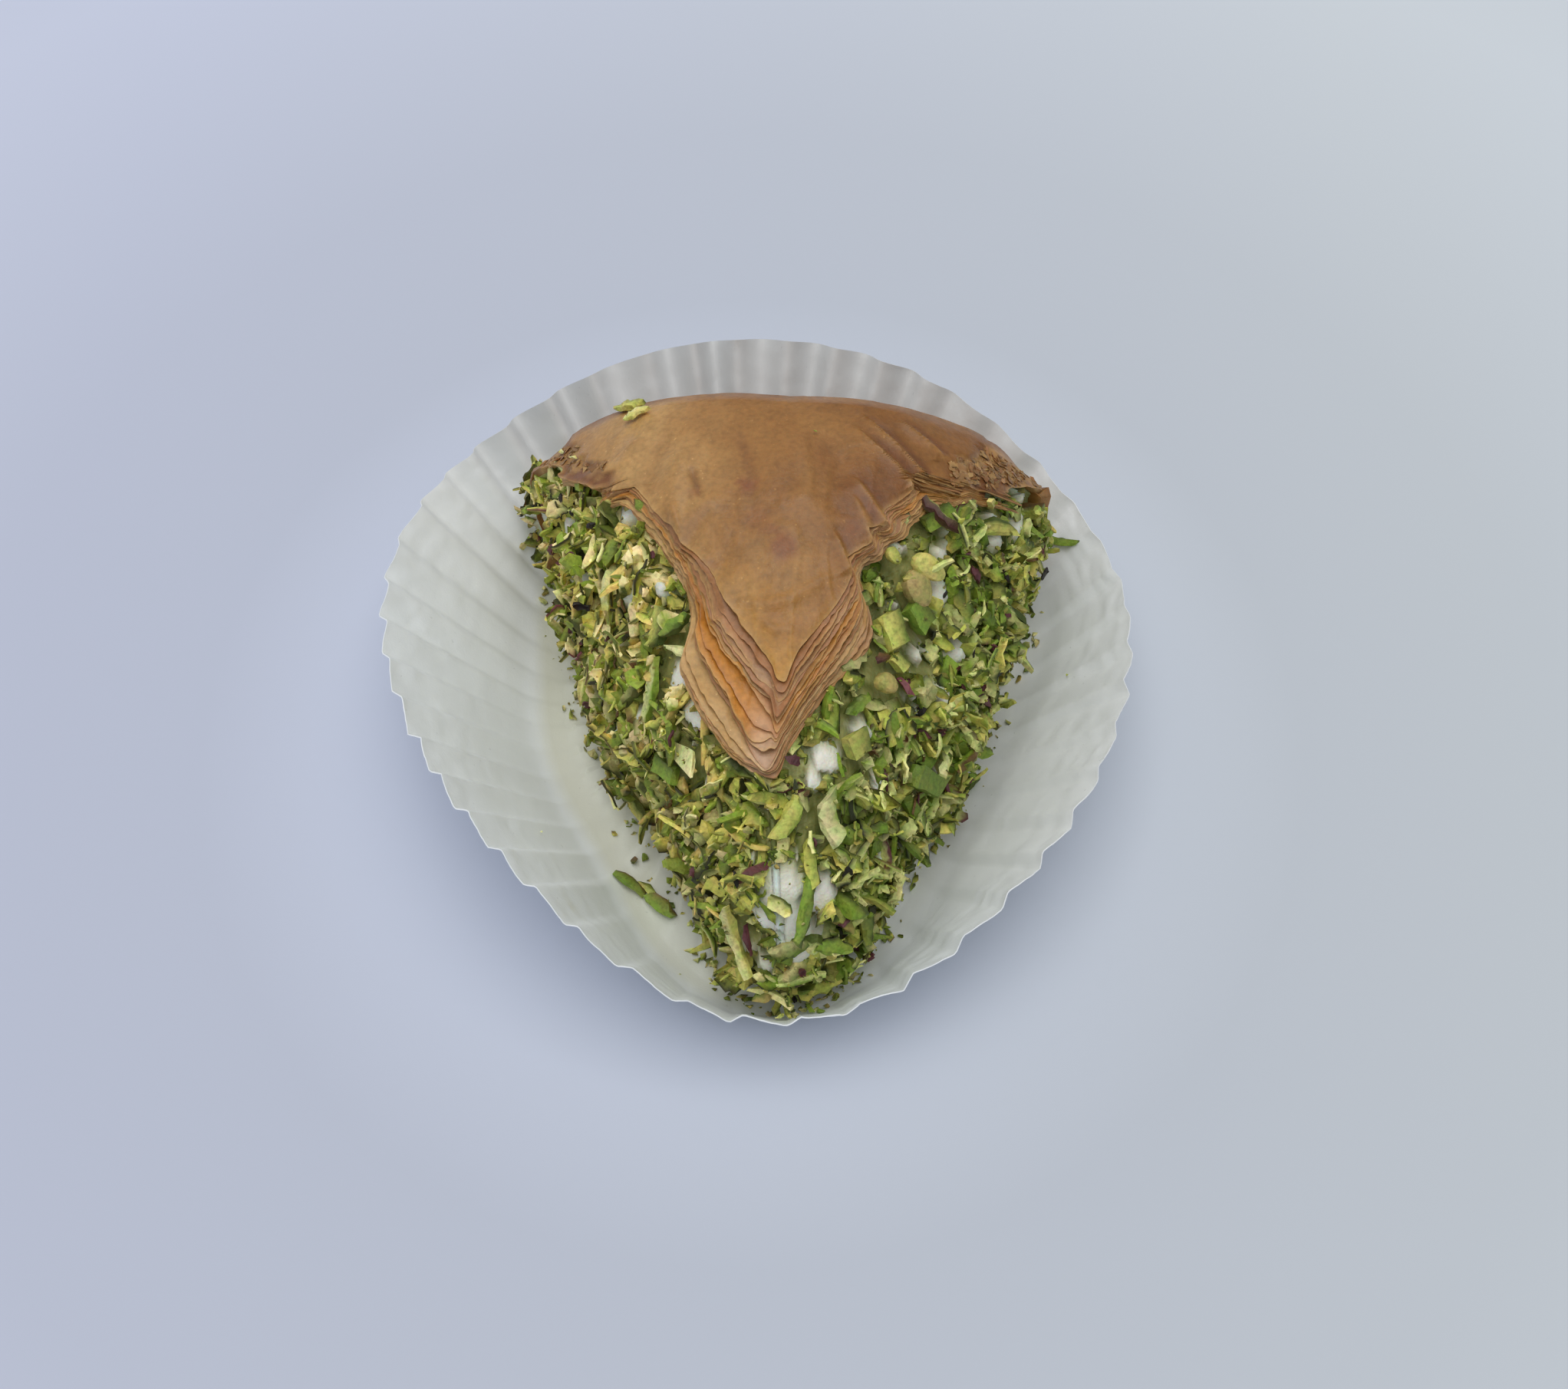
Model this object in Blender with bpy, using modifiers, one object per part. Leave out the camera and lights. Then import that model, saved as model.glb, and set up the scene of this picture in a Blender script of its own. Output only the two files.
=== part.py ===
"""Warbat: a triangle of baked phyllo, folded over a thick cream filling whose two open
sides are coated with chopped pistachios. It sits in a round fluted paper case.

Three pieces touch but never overlap: the paper case, the folded phyllo and the filling.
X runs to the right, Y to the folded back edge, Z up. The origin is the centre of the
case, on the surface that it stands on. Sizes are in metres.
"""

import math
import random

import bmesh
import bpy
import numpy as np
from mathutils import Matrix
from mathutils.bvhtree import BVHTree

MM = 0.001
FIT_GAP = 0.4 * MM  # between pieces that touch

# Paper case: a flat disc of paper whose outer part is pleated and turned up
CASE_FLAT_RADIUS = 60.7 * MM
CASE_CREASE_RADIUS = 30.5 * MM
CASE_THICKNESS = 0.35 * MM
CASE_PLEATS = 44
COLUMNS_PER_PLEAT = 4
CASE_WALL_SHARES = (0.07, 0.5, 1.0)  # rows of the wall, from the crease to the rim
# Lean of the wall from the vertical, in degrees, by direction from the case's middle
CASE_LEANS = (
    (0, 39),
    (75, 45),
    (125, 50),
    (165, 42),
    (-152, 31),
    (-125, 30),
    (-105, 26),
    (-87, 20),
    (-65, 28),
    (-40, 35),
)
# Depth of the pleats at the rim, by direction
PLEAT_DEPTHS = ((90, 1.2 * MM), (180, 0.8 * MM), (-90, 0.6 * MM), (0, 0.6 * MM))
# The pastry pushes the crease outwards where it reaches past it
PUSH_MARGIN = 1.6 * MM
PUSH_SPREAD = 40  # degrees
PUSH_BLEND = 8  # power of the smooth maximum

# The pastry as a whole, which stands in the case off its middle
PASTRY_PLACE = (4.2 * MM, -2.0 * MM, CASE_THICKNESS + FIT_GAP)
PASTRY_TURN = -3.0  # degrees about Z

# Right half in plan, from the wing down to the tip: base x and y, top sheet's edge x and y
HALF_PLAN = (
    (35.5 * MM, 26.0 * MM, 36.5 * MM, 26.5 * MM),
    (34.4 * MM, 17.5 * MM, 27.5 * MM, 18.6 * MM),
    (31.3 * MM, 8.0 * MM, 19.5 * MM, 12.2 * MM),
    (26.8 * MM, -4.5 * MM, 12.6 * MM, 1.5 * MM),
    (20.8 * MM, -19.0 * MM, 11.5 * MM, -11.5 * MM),
    (13.4 * MM, -34.5 * MM, 7.8 * MM, -16.6 * MM),
    (6.6 * MM, -42.3 * MM, 3.8 * MM, -21.6 * MM),
    (0.0 * MM, -44.8 * MM, 0.0 * MM, -26.0 * MM),
)
# Half of the folded back, from the wing to the middle, in the same way
BACK_PLAN = (
    (35.5 * MM, 26.0 * MM, 36.5 * MM, 26.5 * MM),
    (20.0 * MM, 27.4 * MM, 20.0 * MM, 26.0 * MM),
    (0.0 * MM, 28.0 * MM, 0.0 * MM, 25.0 * MM),
)
BASE_TIP_SHIFT = 2.6 * MM  # the base's tip lies to the right of the nose
MIDDLE = np.array((0.0, 11.0 * MM))  # in plan, where the rows close over the dome

# Height of the top skin along the middle, from the tip over the ridge: y and z
SPINE = (
    (-45 * MM, 33.0 * MM),
    (-28 * MM, 36.0 * MM),
    (-16 * MM, 38.4 * MM),
    (-2 * MM, 41.2 * MM),
    (10 * MM, 42.6 * MM),
    (19 * MM, 42.0 * MM),
    (27 * MM, 40.0 * MM),
    (34 * MM, 36.0 * MM),
)
WING_FALL = 16.0 * MM  # how far the skin falls from the middle to the wings
WING_REACH = 36.5 * MM
WING_POWER = 2.7
RIDGE_SLOPE = 0.06  # of the skin beside its middle line
STACK_HEIGHT = 5.2 * MM  # of the sheets that lie on each other at the nose
STACK_OPENS_Y = -6.0 * MM  # the stack is whole up to here
STACK_CLOSES_Y = 15.0 * MM  # and gone from here
# Upper sheets: how far the tip and the sides draw back from the lowest, share of the stack
SHEETS = ((3.4 * MM, 1.0 * MM, 0.34), (6.4 * MM, 2.0 * MM, 0.67), (9.8 * MM, 3.2 * MM, 1.0))
SHEETS_TURN = 1.8 * MM  # how far the uppermost sheet's tip lies to the right
SHEETS_END_Y = 12.0 * MM  # the upper sheets have dived into the lowest one here
SHEETS_FADE = 9.0 * MM  # along Y, from where they start to
SHEET_ROOT = 0.8 * MM  # how deep the upper sheets root in the lowest
PHYLLO_THICKNESS = 2.0 * MM
FILLING_INSET = PHYLLO_THICKNESS + FIT_GAP
CREAM_REACH = 0.94  # the cream stops short of the fold's corners
LOWEST_DRAWN_IN = 1.5 * MM  # of the bottom's edge along the open sides

# Folded back: it bulges and runs round each back corner by a few columns
FOLD_BULGE = 4.2 * MM
FOLD_POWER = 2.6
FOLD_WRAP = 1
FOLD_END = 0.45  # share of the bulge that is left at the fold's two ends
FOLD_SHARES = (0.04, 0.15, 0.37, 0.63, 0.85, 0.96)
# Open side of the filling: share of the way in to the sheet's edge, and of the way up
WALL_PROFILE = (
    (0.08, 0.0),
    (0.0, 0.10),
    (-0.04, 0.27),
    (0.06, 0.46),
    (0.34, 0.70),
    (0.72, 0.88),
    (0.98, 0.965),
)
# Pleats of the top sheets at the right shoulder, as shares of the way from tip to wing
PLEATED = (0.42, 0.92)
PLEAT_RISE = 0.7 * MM
PLEAT_REACH = 1.0 * MM

# Resolution
COLUMNS_PER_SPAN = 3
SIDE_COLUMNS = COLUMNS_PER_SPAN * (len(HALF_PLAN) - 1)
BACK_PER_SPAN = 4
BACK_COLUMNS = 2 * BACK_PER_SPAN * (len(BACK_PLAN) - 1)
SHEET_BACK_COLUMNS = 8
SHEET_INNER_SHARE = 0.5  # of the way from a sheet's outline to its middle
BOTTOM_INNER_SHARE = 0.6  # of the way from the phyllo's middle to its bottom edge
DOME_SHARES = (0.12, 0.38, 0.72)
SPINE_STEPS = 12  # between two points of the spine
SHARP_ANGLE = 40  # degrees, above which an edge is shaded sharp

# Chopped pistachios, the largest first: count, length, width, thickness and free distance
CHIP_KINDS = (
    (46, 9.0 * MM, 3.4 * MM, 2.6 * MM, 6.4 * MM),
    (60, 6.5 * MM, 3.2 * MM, 2.6 * MM, 4.4 * MM),
    (70, 4.4 * MM, 3.0 * MM, 2.8 * MM, 3.4 * MM),
)
CHIP_SEED = 7
CHIP_SINK = 0.2  # share of its thickness that a chip's middle lies under the cream
CHIP_TILT = 14  # degrees
CHIP_UNEVEN = 0.15  # share by which chips of a kind are longer or shorter
CHIP_SIDES = 5
CHIP_BANDS = 4
CHIP_CLEARANCE = 0.7 * MM  # to the phyllo and the case
CHIP_TRIES = 4000

COLOURS = {
    "paper_case": ((0.80, 0.82, 0.80), 0.55),
    "phyllo": ((0.62, 0.34, 0.13), 0.42),
    "filling": ((0.36, 0.42, 0.07), 0.6),
}


# ---------------------------------------------------------------- outlines in plan


def smooth_through(points, per_span):
    """A smooth curve through the points, with as many steps in each span."""
    known = np.array(points, float)
    padded = np.vstack([2 * known[0] - known[1], known, 2 * known[-1] - known[-2]])
    curve = []
    for a, b, c, d in zip(padded, padded[1:], padded[2:], padded[3:]):
        for t in np.arange(per_span) / per_span:
            bend = (2 * a - 5 * b + 4 * c - d) * t**2 + (3 * b - a - 3 * c + d) * t**3
            curve.append(b + 0.5 * ((c - a) * t + bend))
    return np.array([*curve, known[-1]])


def smooth_step(value):
    share = np.clip(value, 0, 1)
    return share * share * (3 - 2 * share)


def outlines():
    """The outlines of the base and of the top sheets' edge, counter-clockwise from the
    left wing over the tip to the right wing, and back along the fold."""
    mirror = (-1, 1, -1, 1)
    right = smooth_through(HALF_PLAN[::-1], COLUMNS_PER_SPAN)
    left = (right * mirror)[::-1]
    right_back = smooth_through(BACK_PLAN, BACK_PER_SPAN)
    left_back = (right_back * mirror)[::-1]
    both = np.vstack([left[:-1], right[:-1], right_back[:-1], left_back[:-1]])
    base, edge = both[:, :2], both[:, 2:]
    wing_y, tip_y = HALF_PLAN[0][1], HALF_PLAN[-1][1]
    base[:, 0] += BASE_TIP_SHIFT * smooth_step((wing_y - base[:, 1]) / (wing_y - tip_y))
    return base, edge


def outward(plan):
    """Unit normals of a closed counter-clockwise outline."""
    along = np.roll(plan, -1, axis=0) - np.roll(plan, 1, axis=0)
    normals = np.stack([along[:, 1], -along[:, 0]], 1)
    return normals / np.linalg.norm(normals, axis=1)[:, None]


BASE, EDGE = outlines()
SPINE_CURVE = smooth_through(SPINE, SPINE_STEPS)
COLUMN = np.arange(len(BASE))
# Columns along an open side from the corner where the fold starts, and 0 along the fold
FROM_CORNER = np.minimum(COLUMN, np.maximum(2 * SIDE_COLUMNS - COLUMN, 0))
IN_FOLD = FROM_CORNER <= FOLD_WRAP


# ---------------------------------------------------------------- form of the pastry


def stack_height(plan):
    share = (STACK_CLOSES_Y - plan[:, 1]) / (STACK_CLOSES_Y - STACK_OPENS_Y)
    return STACK_HEIGHT * smooth_step(share)


def lowest_sheet(plan):
    """Height of the lowest top sheet, which the stacked sheets lie on."""
    spine = np.interp(plan[:, 1], SPINE_CURVE[:, 0], SPINE_CURVE[:, 1])
    aside = abs(plan[:, 0])
    fall = WING_FALL * (aside / WING_REACH) ** WING_POWER + RIDGE_SLOPE * aside
    return spine - fall - stack_height(plan)


def under_sheet(plan, inset):
    """Height of the points that lie under the lowest sheet, at a distance square to it."""
    slope = WING_FALL * WING_POWER / WING_REACH * abs(plan[:, 0] / WING_REACH) ** (WING_POWER - 1)
    return lowest_sheet(plan) - inset * np.hypot(1, slope)


def raised(plan, height):
    """Points in plan, given a height."""
    return np.column_stack([plan, np.broadcast_to(height, len(plan))])


def fold_row(up, floor, top, inset):
    """One row round the folded back, between the base outline and the sheets' edge."""
    swell = (1 - abs(2 * up - 1) ** FOLD_POWER) ** (1 / FOLD_POWER)
    fade = FOLD_END + (1 - FOLD_END) * smooth_step(1 - FROM_CORNER / FOLD_WRAP)
    reach = FOLD_BULGE * swell * fade - inset
    plan = BASE + (EDGE - BASE) * up + outward(BASE) * reach[:, None]
    return raised(plan, floor + (top - floor) * up)


def wall_row(inwards, up, floor, top):
    """One row along the open sides, between the base outline and the sheets' edge."""
    return raised(BASE + (EDGE - BASE) * inwards, floor + (top - floor) * up)


def pleated_edge():
    """The sheets' edge, where every other column of the right shoulder is a pleat's point."""
    share = (COLUMN - SIDE_COLUMNS) / SIDE_COLUMNS
    pleat = (share > PLEATED[0]) & (share < PLEATED[1]) & (COLUMN % 2 == 0)
    plan = EDGE + outward(EDGE) * (PLEAT_REACH * pleat)[:, None]
    return raised(plan, lowest_sheet(EDGE) + PLEAT_RISE * pleat)


def dome_rows(inset):
    """Rows from near the sheets' edge to near the middle, at a distance under the sheet."""
    plans = [EDGE + (MIDDLE - EDGE) * share for share in DOME_SHARES]
    return [raised(plan, under_sheet(plan, inset)) for plan in plans]


def pole(height):
    return np.array((*MIDDLE, height))


def top_pole(inset):
    return pole(under_sheet(MIDDLE[None], inset)[0])


# ---------------------------------------------------------------- building blocks


def clear_scene():
    for thing in list(bpy.data.objects):
        bpy.data.objects.remove(thing)


def new_collection(name):
    group = bpy.data.collections.new(name)
    bpy.context.scene.collection.children.link(group)
    return group


def new_material(name):
    colour, roughness = COLOURS[name]
    made = bpy.data.materials.new(name)
    made.use_nodes = True
    shader = made.node_tree.nodes["Principled BSDF"]
    shader.inputs["Base Color"].default_value = (*colour, 1)
    shader.inputs["Roughness"].default_value = roughness
    shader.inputs["Metallic"].default_value = 0
    return made


def add_object(name, shape, group, parent=None):
    """Makes an object of a bmesh, which is freed."""
    mesh = bpy.data.meshes.new(name)
    shape.to_mesh(mesh)
    shape.free()
    thing = bpy.data.objects.new(name, mesh)
    thing.parent = parent
    group.objects.link(thing)
    return thing


def finish_object(thing):
    """Gives a sub-part its material and shades its round faces smooth."""
    thing.data.materials.clear()
    thing.data.materials.append(new_material(thing.name))
    thing.data.shade_smooth()
    thing.data.set_sharp_from_angle(angle=math.radians(SHARP_ANGLE))


def apply_modifiers(thing):
    """Puts the mesh that the modifiers make in place of the object's own."""
    bpy.context.view_layer.update()
    evaluated = thing.evaluated_get(bpy.context.evaluated_depsgraph_get())
    mesh = bpy.data.meshes.new_from_object(evaluated)
    thing.modifiers.clear()
    thing.data = mesh


def fuse(thing, others):
    """Joins a collection's objects to an object, and removes them."""
    union = thing.modifiers.new("union", "BOOLEAN")
    union.operation = "UNION"
    union.operand_type = "COLLECTION"
    union.collection = others
    union.solver = "MANIFOLD"
    apply_modifiers(thing)
    for other in list(others.objects):
        bpy.data.objects.remove(other)
    bpy.data.collections.remove(others)


def loft(rows, low, high, leave_out=None):
    """A skin over rows of points from the bottom up, closed by a fan at both poles.

    leave_out says for a row and a column whether the face above and after them is open.
    """
    shape = bmesh.new()
    grid = [[shape.verts.new(point) for point in row] for row in rows]
    count = len(rows[0])
    following = [*range(1, count), 0]
    bottom, top = shape.verts.new(low), shape.verts.new(high)
    for here, after in zip(range(count), following):
        shape.faces.new((bottom, grid[0][after], grid[0][here]))
        shape.faces.new((grid[-1][here], grid[-1][after], top))
        for row in range(len(rows) - 1):
            if leave_out and leave_out(row, here, after):
                continue
            under, over = grid[row], grid[row + 1]
            shape.faces.new((under[here], under[after], over[after], over[here]))
    loose = [vertex for vertex in shape.verts if not vertex.link_faces]
    bmesh.ops.delete(shape, geom=loose, context="VERTS")
    return shape


def largest_piece(shape):
    """Keeps only the body with the most faces: no scrap and no sealed hollow stays."""
    waiting = set(shape.faces)
    pieces = []
    while waiting:
        piece = set()
        reached = [waiting.pop()]
        while reached:
            face = reached.pop()
            piece.add(face)
            for edge in face.edges:
                fresh = [other for other in edge.link_faces if other in waiting]
                waiting.difference_update(fresh)
                reached.extend(fresh)
        pieces.append(piece)
    pieces.sort(key=len)
    scraps = [face for piece in pieces[:-1] for face in piece]
    bmesh.ops.delete(shape, geom=scraps, context="FACES")


# ---------------------------------------------------------------- paper case


def pastry_matrix():
    turn = Matrix.Rotation(math.radians(PASTRY_TURN), 4, "Z")
    return Matrix.Translation(PASTRY_PLACE) @ turn


def crease_radius(angle):
    """Where the paper turns up, in the direction of each angle from the case's centre."""
    move = np.array(pastry_matrix())
    base = BASE @ move[:2, :2].T + move[:2, 3]
    reach = np.hypot(base[:, 0], base[:, 1]) + PUSH_MARGIN
    away = angle[:, None] - np.arctan2(base[:, 1], base[:, 0])[None]
    away = np.degrees(np.arctan2(np.sin(away), np.cos(away)))
    pushed = (reach * np.exp(-((away / PUSH_SPREAD) ** 2))).max(axis=1)
    return (pushed**PUSH_BLEND + CASE_CREASE_RADIUS**PUSH_BLEND) ** (1 / PUSH_BLEND)


def by_direction(angle, table):
    """Reads a table of directions and values round the case."""
    directions, values = zip(*table)
    return np.interp(np.degrees(angle), directions, values, period=360)


def turned_up(flat):
    """Turns up and pleats the outer part of the flat disc's points."""
    radius = np.hypot(flat[:, 0], flat[:, 1])
    angle = np.arctan2(flat[:, 1], flat[:, 0])
    crease = crease_radius(angle)
    lean = np.radians(by_direction(angle, CASE_LEANS))
    on_floor = np.minimum(radius / CASE_CREASE_RADIUS, 1)
    up = np.maximum(radius - CASE_CREASE_RADIUS, 0) / (CASE_FLAT_RADIUS - CASE_CREASE_RADIUS)
    wall = (CASE_FLAT_RADIUS - crease) * up
    wave = 1 - 2 * abs(np.sin(CASE_PLEATS * angle / 2))
    pleat = by_direction(angle, PLEAT_DEPTHS) * up * wave
    out = crease * on_floor + wall * np.sin(lean) + pleat * np.cos(lean)
    height = wall * np.cos(lean) - pleat * np.sin(lean)
    return np.column_stack([out * np.cos(angle), out * np.sin(angle), height])


def flat_disc(group):
    """A disc of one floor ring and the wall's rows, turned from a straight profile."""
    shape = bmesh.new()
    wall = CASE_FLAT_RADIUS - CASE_CREASE_RADIUS
    rows = [CASE_CREASE_RADIUS + share * wall for share in CASE_WALL_SHARES]
    line = [shape.verts.new((radius, 0, 0)) for radius in (0, CASE_CREASE_RADIUS, *rows)]
    for inner, outer in zip(line, line[1:]):
        shape.edges.new((inner, outer))
    disc = add_object("paper_case", shape, group)
    screw = disc.modifiers.new("turn", "SCREW")
    screw.steps = CASE_PLEATS * COLUMNS_PER_PLEAT
    screw.render_steps = screw.steps
    screw.use_merge_vertices = True
    screw.merge_threshold = 0.001 * MM
    apply_modifiers(disc)
    return disc


def paper_case(group):
    case = flat_disc(group)
    flat = np.array([vertex.co for vertex in case.data.vertices])
    for vertex, place in zip(case.data.vertices, turned_up(flat)):
        vertex.co = place
    paper = case.modifiers.new("paper", "SOLIDIFY")
    paper.thickness = CASE_THICKNESS
    paper.offset = 1
    finish_object(case)
    return case


# ---------------------------------------------------------------- phyllo


def stacked_sheet(tip_back, sides_in, share):
    """An upper sheet at the nose: a wedge on the lowest one, which it dives into behind."""
    front = EDGE[:, 1] < SHEETS_END_Y
    near = smooth_step((SHEETS_END_Y - EDGE[:, 1]) / (SHEETS_END_Y - EDGE[:, 1].min()))
    plan = EDGE - outward(EDGE) * sides_in
    plan[:, 1] += (tip_back - sides_in) * near**3
    plan[:, 0] += SHEETS_TURN * share * near
    left, right = plan[front][0], plan[front][-1]
    across = np.linspace(right, left, SHEET_BACK_COLUMNS + 2)[1:-1]
    plan = np.vstack([plan[front], across])
    middle = (left + right + EDGE[SIDE_COLUMNS]) / 3
    inner = plan + (middle - plan) * SHEET_INNER_SHARE

    def top(points):
        fade = smooth_step((SHEETS_END_Y - points[:, 1]) / SHEETS_FADE)
        lift = share * stack_height(points) * fade - SHEET_ROOT / 2 * (1 - fade)
        return raised(points, lowest_sheet(points) + lift)

    def under(points):
        return raised(points, lowest_sheet(points) - SHEET_ROOT)

    rows = [under(inner), under(plan), top(plan), top(inner)]
    return loft(rows, under(middle[None])[0], top(middle[None])[0])


def open_side(row, here, after):
    """Whether a face of the phyllo lies in one of the two windows at its sides."""
    between = 0 < row <= 1 + len(FOLD_SHARES)
    return between and not (IN_FOLD[here] and IN_FOLD[after])


def phyllo(group, parent):
    """The folded shell: bottom, rounded back and domed top, with the sheets on its nose."""
    edge = pleated_edge()
    rim = BASE - outward(BASE) * (LOWEST_DRAWN_IN * ~IN_FOLD)[:, None]
    inner = raised(MIDDLE + (rim - MIDDLE) * BOTTOM_INNER_SHARE, 0)
    fold = [fold_row(up, 0, edge[:, 2], 0) for up in FOLD_SHARES]
    rows = [inner, raised(rim, 0), *fold, edge, *dome_rows(0)]
    shell = add_object("phyllo", loft(rows, pole(0), top_pole(0), open_side), group, parent)
    leaf = shell.modifiers.new("leaf", "SOLIDIFY")
    leaf.thickness = PHYLLO_THICKNESS
    leaf.offset = -1
    apply_modifiers(shell)
    sheets = new_collection("sheets")
    for number, sheet in enumerate(SHEETS):
        add_object(f"sheet_{number}", stacked_sheet(*sheet), sheets, parent)
    fuse(shell, sheets)
    finish_object(shell)
    return shell


# ---------------------------------------------------------------- filling


def filling_core():
    """The cream: it fills the fold, and bulges out of both open sides."""
    floor = FILLING_INSET
    top = under_sheet(EDGE, FILLING_INSET)
    rows = []
    for inwards, up in WALL_PROFILE:
        fold = fold_row(up, floor, top, FILLING_INSET)
        rows.append(np.where(IN_FOLD[:, None], fold, wall_row(inwards, up, floor, top)))
    rows += dome_rows(FILLING_INSET)
    reach = np.where(IN_FOLD, CREAM_REACH, 1)[:, None]
    for row in rows:
        row[:, :2] = MIDDLE + (row[:, :2] - MIDDLE) * reach
    return loft(rows, pole(floor), top_pole(FILLING_INSET))


def wall_triangles(core):
    """Corners of the triangles of the filling's open sides."""
    places = [vertex.co.copy() for vertex in core.verts]
    corners = []
    count = len(BASE)
    for row in range(len(WALL_PROFILE) - 1):
        for here in range(FOLD_WRAP, 2 * SIDE_COLUMNS - FOLD_WRAP):
            under, over = row * count + here, (row + 1) * count + here
            a, b, c, d = places[under], places[under + 1], places[over + 1], places[over]
            corners += [(a, b, c), (a, c, d)]
    return corners


def chip(size, place, axis, turn, tilt):
    """A chopped piece of nut: a coarse ball, stretched, turned and laid on the wall."""
    shape = bmesh.new()
    bmesh.ops.create_uvsphere(shape, u_segments=CHIP_SIDES, v_segments=CHIP_BANDS, radius=0.5)
    lying_ball = Matrix.Diagonal((*size, 1)) @ Matrix.Rotation(math.radians(90), 4, "Y")
    spin = Matrix.Rotation(turn, 4, "Z") @ Matrix.Rotation(tilt, 4, "Y")
    lay = Matrix.Translation(place) @ axis.to_track_quat("Z", "Y").to_matrix().to_4x4()
    bmesh.ops.transform(shape, matrix=lay @ spin @ lying_ball, verts=shape.verts)
    return shape


def tree_of(thing):
    """A search tree of an object's evaluated mesh, in the part's frame."""
    bpy.context.view_layer.update()
    evaluated = thing.evaluated_get(bpy.context.evaluated_depsgraph_get())
    places = [evaluated.matrix_world @ vertex.co for vertex in evaluated.data.vertices]
    return BVHTree.FromPolygons(places, [tuple(face.vertices) for face in evaluated.data.polygons])


def is_clear(shape, trees):
    """Whether a chip keeps its clearance to the other pieces and to the floor under it."""
    move = pastry_matrix()
    for vertex in shape.verts:
        if vertex.co.z < CHIP_CLEARANCE:
            return False
        for tree in trees:
            if tree.find_nearest(move @ vertex.co, CHIP_CLEARANCE)[0] is not None:
                return False
    return True


def scattered_chips(core, trees):
    """Chips on the open sides, the largest first, each with its free distance."""
    draw = random.Random(CHIP_SEED)
    triangles = wall_triangles(core)
    areas = [(b - a).cross(c - a).length for a, b, c in triangles]
    placed, chips = [], []
    for count, length, width, thickness, free in CHIP_KINDS:
        wanted = len(chips) + count
        for a, b, c in draw.choices(triangles, areas, k=CHIP_TRIES):
            if len(chips) == wanted:
                break
            s, t = sorted((draw.random(), draw.random()))
            place = a * s + b * (t - s) + c * (1 - t)
            axis = (b - a).cross(c - a).normalized()
            turn = draw.uniform(0, math.pi)
            tilt = math.radians(draw.uniform(-CHIP_TILT, CHIP_TILT))
            grown = draw.uniform(1 - CHIP_UNEVEN, 1 + CHIP_UNEVEN)
            if any((place - other).length < free for other in placed):
                continue
            size = (length * grown, width * grown, thickness)
            shape = chip(size, place - axis * thickness * CHIP_SINK, axis, turn, tilt)
            if is_clear(shape, trees):
                placed.append(place)
                chips.append(shape)
    return chips


def filling(group, parent, others):
    """The cream with the chips fused to its open sides."""
    core = filling_core()
    core.verts.ensure_lookup_table()
    chips = scattered_chips(core, [tree_of(other) for other in others])
    cream = add_object("filling", core, group, parent)
    scattered = new_collection("chips")
    for number, shape in enumerate(chips):
        add_object(f"chip_{number}", shape, scattered, parent)
    fuse(cream, scattered)
    shape = bmesh.new()
    shape.from_mesh(cream.data)
    largest_piece(shape)
    shape.to_mesh(cream.data)
    shape.free()
    finish_object(cream)
    return cream


# ---------------------------------------------------------------- the whole


def warbat():
    clear_scene()
    group = new_collection("warbat")
    pastry = bpy.data.objects.new("pastry", None)
    pastry.matrix_world = pastry_matrix()
    group.objects.link(pastry)
    case = paper_case(group)
    shell = phyllo(group, pastry)
    filling(group, pastry, (case, shell))


warbat()
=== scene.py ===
"""The looks of the warbat: baked phyllo sheets over cream, whose open sides are coated
with chopped pistachios, in a fluted paper case.

Lengths are in metres. X runs to the right, Y to the folded back edge, Z up. Pixels are
those of the photograph, which is 2044 wide and 1811 high.
"""

import functools
import math

import bmesh
import bpy
import numpy as np
from mathutils import Matrix, Vector
from mathutils.bvhtree import BVHTree


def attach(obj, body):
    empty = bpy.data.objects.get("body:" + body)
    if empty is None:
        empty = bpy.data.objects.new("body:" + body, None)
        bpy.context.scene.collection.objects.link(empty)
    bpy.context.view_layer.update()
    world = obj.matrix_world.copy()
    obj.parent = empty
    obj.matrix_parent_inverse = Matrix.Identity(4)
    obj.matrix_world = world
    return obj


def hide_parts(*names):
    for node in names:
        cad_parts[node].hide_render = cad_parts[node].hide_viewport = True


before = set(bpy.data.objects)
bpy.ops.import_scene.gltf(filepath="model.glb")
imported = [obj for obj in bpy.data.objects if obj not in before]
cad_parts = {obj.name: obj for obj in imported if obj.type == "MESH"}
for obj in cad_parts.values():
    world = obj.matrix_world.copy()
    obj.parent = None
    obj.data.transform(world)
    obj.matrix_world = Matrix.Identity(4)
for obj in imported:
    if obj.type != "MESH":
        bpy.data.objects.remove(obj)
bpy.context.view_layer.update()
MM = 0.001

# ---------------------------------------------------------------- camera

PICTURE_WIDTH, PICTURE_HEIGHT = 2044, 1811
CAMERA_PLACE = Vector((4.8, -122.5, 215.5)) * MM
CAMERA_AIM = Vector((4.8, -5.0, 12.0)) * MM
LENS = 38.75
SENSOR = 36.0
CAMERA_TURN = (CAMERA_AIM - CAMERA_PLACE).to_track_quat("-Z", "Y")


def add_camera():
    """The camera that took the photograph."""
    data = bpy.data.cameras.new("camera")
    data.lens = LENS
    data.sensor_width = SENSOR
    data.clip_start = 0.01
    camera = bpy.data.objects.new("camera", data)
    camera.location = CAMERA_PLACE
    camera.rotation_euler = CAMERA_TURN.to_euler()
    bpy.context.scene.collection.objects.link(camera)
    bpy.context.scene.camera = camera


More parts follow.
